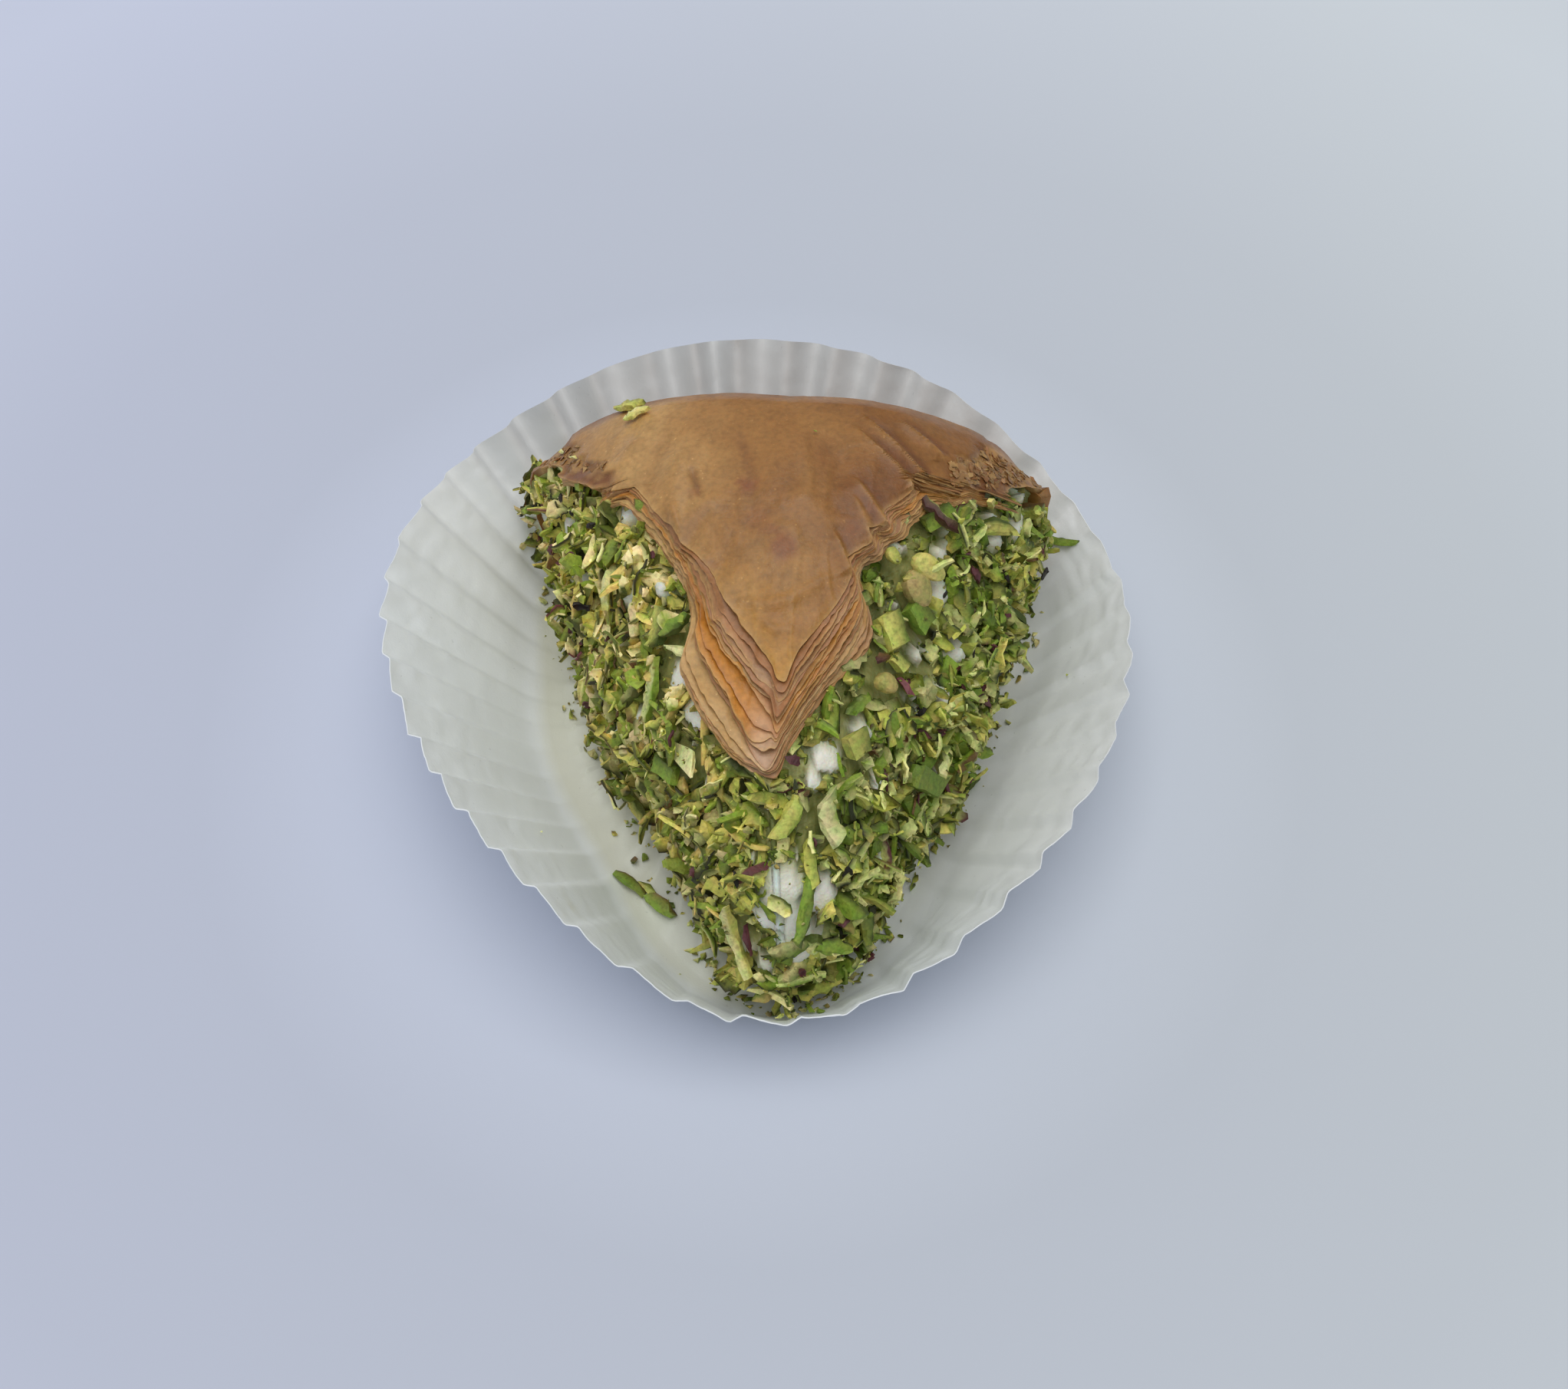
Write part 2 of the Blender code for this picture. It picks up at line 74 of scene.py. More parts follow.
def sight(pixel):
    """The direction from the camera through a pixel of the photograph."""
    step = SENSOR / LENS / PICTURE_WIDTH
    across = (pixel[0] - PICTURE_WIDTH / 2) * step
    up = (PICTURE_HEIGHT / 2 - pixel[1]) * step
    return (CAMERA_TURN @ Vector((across, up, -1))).normalized()


# ---------------------------------------------------------------- form of the pastry

# The pastry stands off the case's middle, a little turned
PASTRY_PLACE = np.array((4.2, -2.0, 0.75)) * MM
PASTRY_TURN = math.radians(-3.0)
PASTRY_AXES = np.array(Matrix.Rotation(PASTRY_TURN, 3, "Z"))

# Right half in plan, from the wing down to the tip: base x and y, sheets' edge x and y
HALF_PLAN = np.array((
    (35.5, 26.0, 36.5, 26.5),
    (34.4, 17.5, 27.5, 18.6),
    (31.3, 8.0, 19.5, 12.2),
    (26.8, -4.5, 12.6, 1.5),
    (20.8, -19.0, 11.5, -11.5),
    (13.4, -34.5, 7.8, -16.6),
    (6.6, -42.3, 3.8, -21.6),
    (0.0, -44.8, 0.0, -26.0),
)) * MM
# Half of the folded back, from the wing to the middle
BACK_PLAN = np.array((
    (35.5, 26.0, 36.5, 26.5),
    (20.0, 27.4, 20.0, 26.0),
    (0.0, 28.0, 0.0, 25.0),
)) * MM
BASE_TIP_SHIFT = 2.6 * MM  # the base's tip lies to the right of the nose
TIP_SLIMMER = 0.16  # share by which the base is narrower near the tip
SLIMMER_FROM, SLIMMER_OVER = -10.0 * MM, 25.0 * MM
MIDDLE = np.array((0.0, 11.0)) * MM  # in plan, where the rows close over the dome
# Height of the pastry along its middle line: y and height
SPINE = np.array((
    (-45, 33.0),
    (-28, 36.0),
    (-16, 38.4),
    (-2, 41.2),
    (10, 42.6),
    (19, 42.0),
    (27, 40.0),
    (34, 36.0),
)) * MM
WING_FALL = 16.0 * MM  # by how much the top is lower at the wings
WING_REACH = 36.5 * MM
WING_POWER = 2.7
RIDGE_SLOPE = 0.06
STACK_HEIGHT = 5.2 * MM  # of the stacked sheets at the nose
STACK_OPENS_Y = -6.0 * MM
STACK_CLOSES_Y = 15.0 * MM
FILLING_INSET = 2.4 * MM  # between the fold's outer face and the cream
CREAM_REACH = 0.94  # share of the way to the fold that the cream reaches
LOWEST_DRAWN_IN = 3.4 * MM  # the skin's foot keeps this far inside the coating
FOLD_BULGE = 4.2 * MM
FOLD_POWER = 2.6
FOLD_WRAP = 0.07  # spans of the open side that the fold wraps round
FOLD_ENDS = (0.4, -0.2)  # share of the bulge at its left and its right end
FOLD_FADE_REACH = 8.0 * MM
# The open walls: share of the way in to the sheets' edge, and share of the height
WALL_PROFILE = (
    (0.08, 0.0),
    (0.0, 0.10),
    (-0.04, 0.27),
    (0.06, 0.46),
    (0.34, 0.70),
    (0.72, 0.88),
    (0.98, 0.965),
)
SIDE_STEPS = 28  # columns in each span of a side
BACK_STEPS = 24
SPINE_STEPS = 12
RIGHTNESS_REACH = 40 * MM  # over which the left side's values turn into the right's
SIDE_COLUMNS = SIDE_STEPS * (len(HALF_PLAN) - 1)


def smooth_through(points, per_span):
    """A smooth curve through the points, with as many steps in each span."""
    known = np.array(points, float)
    padded = np.vstack([2 * known[0] - known[1], known, 2 * known[-1] - known[-2]])
    curve = []
    for a, b, c, d in zip(padded, padded[1:], padded[2:], padded[3:]):
        for t in np.arange(per_span) / per_span:
            bend = (2 * a - 5 * b + 4 * c - d) * t**2 + (3 * b - a - 3 * c + d) * t**3
            curve.append(b + 0.5 * ((c - a) * t + bend))
    return np.array([*curve, known[-1]])


def smooth_step(value):
    """From 0 to 1 as the value does, without a kink at either end."""
    share = np.clip(value, 0, 1)
    return share * share * (3 - 2 * share)


def between(a, b, share):
    """A value between a and b."""
    return a * (1 - share) + b * share


def mix(a, b, share):
    """Rows, such as points or colours, between those of a and b, by each row's share."""
    return between(np.asarray(a), np.asarray(b), np.asarray(share, float)[..., None])


def outlines():
    """Outlines of the base and of the sheets' edge, counter-clockwise from the left wing
    over the tip to the right wing, and back along the fold."""
    mirror = (-1, 1, -1, 1)
    right = smooth_through(HALF_PLAN[::-1], SIDE_STEPS)
    left = (right * mirror)[::-1]
    right_back = smooth_through(BACK_PLAN, BACK_STEPS)
    left_back = (right_back * mirror)[::-1]
    both = np.vstack([left[:-1], right[:-1], right_back[:-1], left_back[:-1]])
    base, edge = both[:, :2], both[:, 2:]
    wing_y, tip_y = HALF_PLAN[0][1], HALF_PLAN[-1][1]
    base[:, 0] *= 1 - TIP_SLIMMER * smooth_step((SLIMMER_FROM - base[:, 1]) / SLIMMER_OVER)
    base[:, 0] += BASE_TIP_SHIFT * smooth_step((wing_y - base[:, 1]) / (wing_y - tip_y))
    return base, edge


def outward(plan):
    """Unit normals of a closed counter-clockwise outline."""
    along = np.roll(plan, -1, axis=0) - np.roll(plan, 1, axis=0)
    normals = np.stack([along[:, 1], -along[:, 0]], 1)
    return normals / np.linalg.norm(normals, axis=1)[:, None]


BASE, EDGE = outlines()
OUTWARD = outward(BASE)
SPINE_CURVE = smooth_through(SPINE, SPINE_STEPS)
COLUMNS = len(BASE)
COLUMN = np.arange(COLUMNS)
# Spans along an open side from the corner where the fold starts, and 0 along the fold
FROM_CORNER = np.minimum(COLUMN, np.maximum(2 * SIDE_COLUMNS - COLUMN, 0)) / SIDE_STEPS
IN_FOLD = smooth_step((2 * FOLD_WRAP - FROM_CORNER) / FOLD_WRAP)
# How far columns of the fold are from its nearer end, and how much of its bulge they have
FROM_END = np.minimum(*(np.linalg.norm(BASE - BASE[end], axis=1) for end in (0, 2 * SIDE_COLUMNS)))
RIGHTNESS = smooth_step(BASE[:, 0] / RIGHTNESS_REACH + 0.5)
AT_END = between(*FOLD_ENDS, RIGHTNESS)
FOLD_FADE = AT_END + (1 - AT_END) * smooth_step(FROM_END / FOLD_FADE_REACH) * (FROM_CORNER == 0)


def placed(points):
    """Moves points from the pastry's own frame to the part's."""
    return points @ PASTRY_AXES.T + PASTRY_PLACE


def unplaced(point):
    """Moves a point from the part's frame to the pastry's own."""
    return PASTRY_AXES.T @ (np.array(point) - PASTRY_PLACE)


def skin_height(plan):
    """Height of the uppermost sheet, without its relief."""
    spine = np.interp(plan[:, 1], SPINE_CURVE[:, 0], SPINE_CURVE[:, 1])
    aside = abs(plan[:, 0])
    fall = WING_FALL * (aside / WING_REACH) ** WING_POWER + RIDGE_SLOPE * aside
    return spine - fall


def stack_height(plan):
    """Height of the stacked sheets: full at the nose, none under the dome."""
    share = (STACK_CLOSES_Y - plan[:, 1]) / (STACK_CLOSES_Y - STACK_OPENS_Y)
    return STACK_HEIGHT * smooth_step(share)


def under_sheet(plan, inset):
    """Height of the points that lie under the lowest sheet, at a distance square to it."""
    aside = abs(plan[:, 0] / WING_REACH)
    slope = WING_FALL * WING_POWER / WING_REACH * aside ** (WING_POWER - 1)
    return skin_height(plan) - stack_height(plan) - inset * np.hypot(1, slope)


def raised(plan, height):
    """Points in plan, given a height."""
    return np.column_stack([plan, np.broadcast_to(height, len(plan))])


def fold_row(up, floor, top, inset):
    """One row round the folded back, between the base outline and the sheets' edge."""
    swell = (1 - abs(2 * up - 1) ** FOLD_POWER) ** (1 / FOLD_POWER)
    reach = FOLD_BULGE * swell * FOLD_FADE - inset
    plan = BASE + (EDGE - BASE) * up + OUTWARD * reach[:, None]
    return raised(plan, floor + (top - floor) * up)


def wall_row(inwards, up, floor, top):
    """One row along the open sides, between the base outline and the sheets' edge."""
    return raised(BASE + (EDGE - BASE) * inwards, floor + (top - floor) * up)


# ---------------------------------------------------------------- noise and relief

NOISE_CELLS = 32  # after which the noise repeats


def rough(points, size, seed):
    """Smooth noise between -1 and 1 that changes over a given size."""
    table = np.random.default_rng(seed).uniform(-1, 1, (NOISE_CELLS,) * 3)
    place = np.asarray(points, float) / size
    low = np.floor(place).astype(int)
    share = smooth_step(place - low)
    total = np.zeros(place.shape[:-1])
    for corner in np.ndindex(2, 2, 2):
        weight = np.where(corner, share, 1 - share).prod(axis=-1)
        cell = (low + corner) % NOISE_CELLS
        total += weight * table[cell[..., 0], cell[..., 1], cell[..., 2]]
    return total


def crumbled(points, size, seed, octaves=3):
    """Noise with finer and finer noise on it."""
    layers = (rough(points, size / 2**n, seed + n) / 2**n for n in range(octaves))
    return sum(layers)


def to_line(plan, line):
    """For each point its distance to a line of points, positive on the line's left, and
    the share of the line that it lies at."""
    steps = np.diff(line, axis=0)
    lengths = np.linalg.norm(steps, axis=1)
    before = np.concatenate([[0], np.cumsum(lengths)[:-1]])
    best = np.full(len(plan), np.inf)
    distance, share = best.copy(), best.copy()
    for start, step, length, passed in zip(line, steps, lengths, before):
        off = plan - start
        along = np.clip(off @ step / length**2, 0, 1)
        gap = np.linalg.norm(off - along[:, None] * step, axis=1)
        side = np.sign(step[0] * off[:, 1] - step[1] * off[:, 0])
        nearer = gap < best
        best = np.where(nearer, gap, best)
        distance = np.where(nearer, gap * side, distance)
        share = np.where(nearer, (passed + along * length) / lengths.sum(), share)
    return distance, share


# ---------------------------------------------------------------- meshes


def tree_of_mesh(mesh):
    """A search tree of a mesh's faces."""
    places = np.zeros(len(mesh.vertices) * 3)
    mesh.vertices.foreach_get("co", places)
    faces = [tuple(face.vertices) for face in mesh.polygons]
    return BVHTree.FromPolygons(places.reshape(-1, 3).tolist(), faces)


def on_tree(tree, pixel):
    """The point of a search tree's surface that a pixel of the photograph shows."""
    return tree.ray_cast(CAMERA_PLACE, sight(pixel))[0]


CAD_CASE = tree_of_mesh(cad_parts["paper_case"].data)


def new_object(name, places, faces, material, tint=None):
    """A piece of the given points and faces; tint is a colour for each point."""
    mesh = bpy.data.meshes.new(name)
    mesh.from_pydata(np.asarray(places).tolist(), [], np.asarray(faces, object).tolist())
    mesh.materials.append(material)
    if tint is not None:
        layer = mesh.color_attributes.new("tint", "FLOAT_COLOR", "POINT")
        layer.data.foreach_set("color", np.column_stack([tint, np.ones(len(tint))]).ravel())
    piece = bpy.data.objects.new(name, mesh)
    bpy.context.scene.collection.objects.link(piece)
    return piece


def thickened(piece, thickness, offset=-1.0, group=None, lowest=0.0):
    """Gives a sheet its thickness, or the group's share of it at each point, and lets no
    point lie below the lowest height."""
    solidify = piece.modifiers.new("thickness", "SOLIDIFY")
    solidify.thickness = thickness
    solidify.offset = offset
    if group is not None:
        weights = piece.vertex_groups.new(name="thickness")
        for index, weight in enumerate(group):
            weights.add((index,), float(weight), "REPLACE")
        solidify.vertex_group = weights.name
    bpy.context.view_layer.update()
    evaluated = piece.evaluated_get(bpy.context.evaluated_depsgraph_get())
    mesh = bpy.data.meshes.new_from_object(evaluated)
    piece.modifiers.clear()
    piece.vertex_groups.clear()
    piece.data = mesh
    places = np.zeros(len(mesh.vertices) * 3)
    mesh.vertices.foreach_get("co", places)
    places[2::3] = np.maximum(places[2::3], lowest)
    mesh.vertices.foreach_set("co", places)


def smoothed(piece, sharp_degrees):
    """Shades a piece smooth, but for edges sharper than an angle."""
    piece.data.shade_smooth()
    piece.data.set_sharp_from_angle(angle=math.radians(sharp_degrees))


def grid_faces(rows, columns, closed, first=0):
    """Quads of a grid of points, row after row, whose last column meets its first if it is
    closed. The grid's own first point has the number given."""
    steps = np.arange(rows - 1), np.arange(columns - (not closed))
    row, column = np.meshgrid(*steps, indexing="ij")
    after = (column + 1) % columns
    corners = (row * columns + column, row * columns + after)
    quads = np.stack([corners[0], corners[1], corners[1] + columns, corners[0] + columns], -1)
    return quads.reshape(-1, 4) + first


# ---------------------------------------------------------------- materials


class Nodes:
    """A short way to write a material's nodes."""

    # Sockets of a Mix node that share their names with others of it
    MIX_COLOURS = (6, 7)
    MIXED_COLOUR = 2

    def __init__(self, name, **shader_values):
        self.material = bpy.data.materials.new(name)
        self.material.use_nodes = True
        self.tree = self.material.node_tree
        self.shader = self.tree.nodes["Principled BSDF"]
        for socket, value in shader_values.items():
            self.shader.inputs[socket.replace("_", " ")].default_value = value

    def add(self, kind, settings=None, **inputs):
        """A node with its settings, and its inputs, by name, linked or set."""
        node = self.tree.nodes.new(kind)
        for name, value in (settings or {}).items():
            setattr(node, name, value)
        for name, value in inputs.items():
            self.put(node.inputs[name.replace("_", " ")], value)
        return node

    def put(self, socket, value):
        """Links a socket to another, or sets its value."""
        if isinstance(value, bpy.types.NodeSocket):
            self.tree.links.new(value, socket)
        else:
            socket.default_value = value

    def noise(self, size, detail=3.0):
        """Noise whose features are about as large as the size."""
        place = self.add("ShaderNodeTexCoord").outputs["Object"]
        node = self.add("ShaderNodeTexNoise", Vector=place, Scale=1 / size, Detail=detail)
        return node.outputs["Fac"]

    def ramp(self, value, *stops):
        """A colour, or a grey of one number, for each value from stop to stop."""
        node = self.add("ShaderNodeValToRGB", Fac=value)
        elements = node.color_ramp.elements
        while len(elements) < len(stops):
            elements.new(0.5)
        for element, (position, colour) in zip(elements, stops):
            element.position = position
            element.color = (*colour, 1) if np.ndim(colour) else (colour,) * 3 + (1,)
        return node.outputs["Color"]

    def product(self, colour, *factors):
        """A colour multiplied by one factor after another."""
        settings = {"data_type": "RGBA", "blend_type": "MULTIPLY"}
        for factor in factors:
            node = self.add("ShaderNodeMix", settings, Factor=1.0)
            self.put(node.inputs[self.MIX_COLOURS[0]], colour)
            self.put(node.inputs[self.MIX_COLOURS[1]], factor)
            colour = node.outputs[self.MIXED_COLOUR]
        return colour

    def tint(self):
        """The colour that each point of the mesh has."""
        return self.add("ShaderNodeVertexColor", {"layer_name": "tint"}).outputs["Color"]

    def bump(self, height, distance, below=None):
        """Relief of a height of 1 that is a distance high, over the relief below it."""
        node = self.add("ShaderNodeBump", Height=height, Distance=distance, Strength=1.0)
        if below is not None:
            self.put(node.inputs["Normal"], below)
        return node.outputs["Normal"]

    def finish(self, colour, normal=None, roughness=None):
        """Links the shader's inputs and gives the material."""
        inputs = {"Base Color": colour, "Normal": normal, "Roughness": roughness}
        for name, value in inputs.items():
            if value is not None:
                self.put(self.shader.inputs[name], value)
        return self.material


def phyllo_material():
    """Baked sheets: mottled, with pale specks, low blisters and a little buttery gloss."""
    nodes = Nodes("phyllo", IOR=1.45, Subsurface_Weight=0.12, Subsurface_Scale=0.0015)
    mottled = nodes.ramp(nodes.noise(3.2 * MM, 5.0), (0.28, 0.86), (0.5, 1.0), (0.74, 1.08))
    fine = nodes.ramp(nodes.noise(0.7 * MM, 6.0), (0.3, 0.84), (0.5, 1.0), (0.7, 1.12))
    specks = nodes.ramp(nodes.noise(0.55 * MM, 1.0), (0.70, 1.0), (0.80, (1.35, 1.45, 1.65)))
    colour = nodes.product(nodes.tint(), mottled, fine, specks)
    blisters = nodes.bump(nodes.noise(1.8 * MM, 2.0), 0.10 * MM)
    normal = nodes.bump(nodes.noise(0.35 * MM, 4.0), 0.05 * MM, below=blisters)
    roughness = nodes.ramp(nodes.noise(4.0 * MM, 2.0), (0.3, 0.33), (0.7, 0.50))
    return nodes.finish(colour, normal, roughness)


def cream_material():
    """Set cream: smooth, lumpy and a little see-through."""
    nodes = Nodes("cream", Roughness=0.38, IOR=1.4, Subsurface_Weight=0.35, Subsurface_Scale=0.0015)
    cloudy = nodes.ramp(nodes.noise(2.0 * MM), (0.3, (0.94, 0.92, 0.84)), (0.7, 1.0))
    colour = nodes.product(nodes.tint(), cloudy)
    lumps = nodes.bump(nodes.noise(1.2 * MM, 2.0), 0.25 * MM)
    normal = nodes.bump(nodes.noise(0.3 * MM, 3.0), 0.06 * MM, below=lumps)
    return nodes.finish(colour, normal)


def pistachio_material():
    """Matt kernels, uneven in their green and yellow."""
    nodes = Nodes("pistachio", IOR=1.45, Roughness=0.55, Subsurface_Weight=0.08, Subsurface_Scale=0.001)
    grain = nodes.ramp(nodes.noise(0.55 * MM, 4.0), (0.25, 0.62), (0.5, 1.0), (0.75, 1.22))
    yellow = nodes.ramp(nodes.noise(1.6 * MM, 2.0), (0.35, (0.86, 1.0, 0.8)), (0.65, (1.1, 1.0, 1.0)))
    colour = nodes.product(nodes.tint(), grain, yellow)
    normal = nodes.bump(nodes.noise(0.3 * MM, 4.0), 0.1 * MM)
    return nodes.finish(colour, normal)


def paper_material():
    """Thin white greaseproof paper, cockled and with a few specks."""
    nodes = Nodes("paper", IOR=1.4)
    cloudy = nodes.ramp(nodes.noise(9 * MM, 3.0), (0.3, 0.95), (0.7, 1.0))
    specks = nodes.ramp(nodes.noise(0.8 * MM, 2.0), (0.22, 0.86), (0.27, 1.0))
    colour = nodes.product(nodes.tint(), cloudy, specks)
    cockled = nodes.bump(nodes.noise(3.0 * MM, 3.0), 0.10 * MM)
    normal = nodes.bump(nodes.noise(0.3 * MM, 4.0), 0.02 * MM, below=cockled)
    roughness = nodes.ramp(nodes.noise(7.0 * MM, 2.0), (0.35, 0.42), (0.6, 0.58))
    return nodes.finish(colour, normal, roughness)


PHYLLO = phyllo_material()
CREAM = cream_material()
PISTACHIO = pistachio_material()
PAPER = paper_material()


# ---------------------------------------------------------------- paper case

CASE_FLAT_RADIUS = 60.7 * MM
CASE_PLEATS = 44
PLEAT_STEPS = 16
WALL_ROWS = 30
FLOOR_ROWS = 12
PAPER_THICKNESS = 0.16 * MM
CASE_FLOOR = 0.1 * MM  # height of the paper's underside
FLOOR_PLEAT = 0.38 * MM  # height of the pleats that run on over the floor
FLOOR_CREASED = 0.50  # share of the crease's radius where they start
FLOOR_SHARES = (0.1, 0.84)  # of the crease's radius, where the floor's rows start and end
WALL_START = -0.15  # share of the wall's length, inside the crease, where its rows start
WRINKLE = 0.18 * MM  # height of the paper's wrinkles at the rim
CREASE_ROUNDING = 4.5 * MM
RISING = 0.76  # share of a creased pleat that rises
# Heights at which the CAD case is measured
LOW_ON_WALL = 3.0 * MM
HIGH_ON_WALL = 9.0 * MM
# By direction in degrees: depth of the pleats at the rim, and how sharply they are creased
PLEAT_FORMS = (
    (-150, 0.55, 1.0),
    (-90, 0.50, 1.0),
    (-30, 0.50, 1.0),
    (20, 0.60, 1.0),
    (55, 1.20, 0.4),
    (80, 2.30, 0.0),
    (125, 2.40, 0.0),
    (150, 1.30, 0.6),
    (185, 0.60, 1.0),
)
PAPER_WHITE = np.array((0.92, 0.94, 0.95))
# The paper's colour in painted blue-tinted light from the floor, used at the front left
PAPER_IN_BLUE_LIGHT = np.array((0.93, 0.97, 1.0))
# Grey of greasy paper, also used as painted shade over the case's floor
GREASE_AND_SHADE_GREY = np.array((0.74, 0.74, 0.62))
# Painted shade: share by which the paper is darker at the back
BACK_PAINTED_SHADE = 0.20
# Greasy paper and painted shade over the case's floor, darker on the left
FLOOR_GREASE_AND_SHADE = (0.95, 0.25)  # on the left and on the right of the floor
# Pixel and radius in millimetres
GREASE_SPOTS = ((752, 1172, 2.5), (770, 985, 3.0), (800, 1060, 3.5), (835, 1150, 4.5))


def pleat_form(angle, column):
    """Values of a column of the pleats' forms between their directions."""
    directions, values = np.array(PLEAT_FORMS)[:, (0, column)].T
    return np.interp(np.degrees(angle), directions, values, period=360)


def radius_at(angle, height):
    """How far the CAD case's wall is from its axis, in a direction and at a height."""
    beside = angle + 0.002  # off the mesh's edges
    way = Vector((math.cos(beside), math.sin(beside), 0))
    hit = CAD_CASE.ray_cast(Vector((0, 0, height)), way)[0]
    return math.hypot(hit.x, hit.y)


def measured_wall():
    """The crease's radius and the wall's lean beside each pleat, from the CAD case."""
    angles = 2 * math.pi / CASE_PLEATS * np.arange(CASE_PLEATS)
    half_pleat = math.pi / CASE_PLEATS
    found = []
    for angle in angles:
        low, high = (
            (radius_at(angle, height) + radius_at(angle + half_pleat, height)) / 2
            for height in (LOW_ON_WALL, HIGH_ON_WALL)
        )
        slope = (high - low) / (HIGH_ON_WALL - LOW_ON_WALL)
        found.append((low - slope * LOW_ON_WALL, math.atan(slope)))
    return angles, np.array(found)


def smooth_round(angles, values, wanted):
    """Reads values that are known at some directions, smoothly."""
    near = (values + np.roll(values, 1) + np.roll(values, -1)) / 3
    return np.interp(wanted, angles, near, period=2 * math.pi)


def pleats(angle, uneven):
    """The pleats' wave round the case, from -1 to 1, and their depth at the rim."""
    shifted = angle + 0.020 * rough(uneven, 0.22, 5)
    turn = CASE_PLEATS * shifted / (2 * math.pi) % 1
    creased = pleat_form(angle, 2)
    laid_over = np.interp(turn, (0, RISING, 1), (-1, 1, -1))
    wave = between(np.cos(2 * math.pi * (turn - RISING)), laid_over, creased)
    depth = pleat_form(angle, 1) * MM * (1 + 0.35 * rough(uneven, 0.13, 8))
    return wave, depth


def case_rows(angle, crease, lean):
    """Radius and height of each row of the paper, from near its middle to the rim."""
    uneven = np.column_stack([np.cos(angle), np.sin(angle), np.zeros(len(angle))])
    wave, depth = pleats(angle, uneven)
    rows = []
    for share in np.linspace(*FLOOR_SHARES, FLOOR_ROWS):
        creased = smooth_step((share - FLOOR_CREASED) / (FLOOR_SHARES[1] - FLOOR_CREASED))
        rows.append((crease * share, CASE_FLOOR + FLOOR_PLEAT * creased * (1 - wave)))
    for up in np.linspace(WALL_START, 1, WALL_ROWS):
        along = (CASE_FLAT_RADIUS - crease) * up
        rounded = np.maximum(along + CREASE_ROUNDING, 0) ** 2 / (4 * CREASE_ROUNDING)
        turned = np.where(along < CREASE_ROUNDING, rounded, along)
        here = np.column_stack([uneven[:, :2] * 8 * up, np.full(len(angle), up)])
        wrinkle = WRINKLE * up * crumbled(here * (1, 1, 0.25), 0.35, 11)
        fold = depth * (0.1 + 0.9 * np.clip(up, 0, 1) ** 0.8) * wave + wrinkle
        out = crease + along - turned * (1 - np.sin(lean)) + fold * np.cos(lean)
        height = np.maximum(turned * np.cos(lean) - fold * np.sin(lean), 0)
        rows.append((out, CASE_FLOOR + height))
    return rows


def case_tint(places, outside):
    """The paper's colours, for points that lie outside the crease by some distance: greasy in spots, greyed
    over the floor as greasy paper and painted shade, most on the left, with painted blue-tinted light at the
    front left and painted shade at the back."""
    uneven = 1.2 * MM * crumbled(places, 3 * MM, 21)
    grease_and_shade = np.zeros(len(places))
    for x, y, size in GREASE_SPOTS:
        away = np.linalg.norm(places - np.array(on_tree(CAD_CASE, (x, y))), axis=1) + uneven
        grease_and_shade = np.maximum(grease_and_shade, smooth_step(1.3 - away / (size * MM)))
    on_wall = smooth_step((outside + 1.5 * MM) / (3 * MM))
    # greasy paper and painted shade over the floor, stronger on the left; the spots are grease
    floor_grease_and_shade_share = between(*FLOOR_GREASE_AND_SHADE, smooth_step(places[:, 0] / (50 * MM) + 0.5))
    grease_and_shade = np.maximum(grease_and_shade, floor_grease_and_shade_share * (1 - on_wall))
    # painted blue-tinted light from the floor on the front left of the paper
    painted_blue_light = smooth_step(-(places[:, 0] + 1.4 * places[:, 1]) / (50 * MM))
    tint = mix(mix(PAPER_WHITE, PAPER_IN_BLUE_LIGHT, painted_blue_light), GREASE_AND_SHADE_GREY, 0.9 * grease_and_shade)
    # painted shade on the back of the case
    back_shade_share = smooth_step((places[:, 1] - 25 * MM) / (20 * MM))
    return tint * (1 - BACK_PAINTED_SHADE * back_shade_share[:, None])


def paper_case():
    """The case: a pleated disc of paper whose outer part is turned up."""
    known, wall = measured_wall()
    count = CASE_PLEATS * PLEAT_STEPS
    angle = 2 * math.pi * np.arange(count) / count
    crease = smooth_round(known, wall[:, 0], angle)
    lean = smooth_round(known, wall[:, 1], angle)
    places = [[(0, 0, CASE_FLOOR)]]
    for out, height in case_rows(angle, crease, lean):
        places.append(np.column_stack([out * np.cos(angle), out * np.sin(angle), height]))
    faces = [(0, 1 + n, 1 + (n + 1) % count) for n in range(count)]
    faces += grid_faces(len(places) - 1, count, True, 1).tolist()
    places = np.vstack(places)
    tint = case_tint(places, crease_distance(places, known, wall[:, 0]))
    piece = new_object("case_paper", places, faces, PAPER, tint)
    thickened(piece, PAPER_THICKNESS, 1.0)
    smoothed(piece, 60)
    return piece


def crease_distance(places, known, crease):
    """How far the points lie outside the crease, in plan."""
    angle = np.arctan2(places[:, 1], places[:, 0])
    return np.hypot(places[:, 0], places[:, 1]) - smooth_round(known, crease, angle)


# ---------------------------------------------------------------- phyllo

GOLD = np.array((0.255, 0.099, 0.020))
LIGHT_GOLD = np.array((0.385, 0.187, 0.052))
BROWN = np.array((0.18, 0.066, 0.021))
PINK = np.array((0.47, 0.215, 0.088))
ORANGE = np.array((0.62, 0.245, 0.034))
PALE = np.array((0.62, 0.365, 0.135))
TIP_PALE = np.array((0.80, 0.56, 0.42))
SMUDGE = np.array((0.25, 0.085, 0.030))
# By how much the skin is painted lighter on its left and towards the tip, as painted light; towards the tip
# it is also more golden
SKIN_LEFT_PAINTED_LIGHT = np.array((0.52, 0.86, 1.55))
SKIN_NOSE_PAINTED_LIGHT = np.array((0.95, 1.28, 0.70))

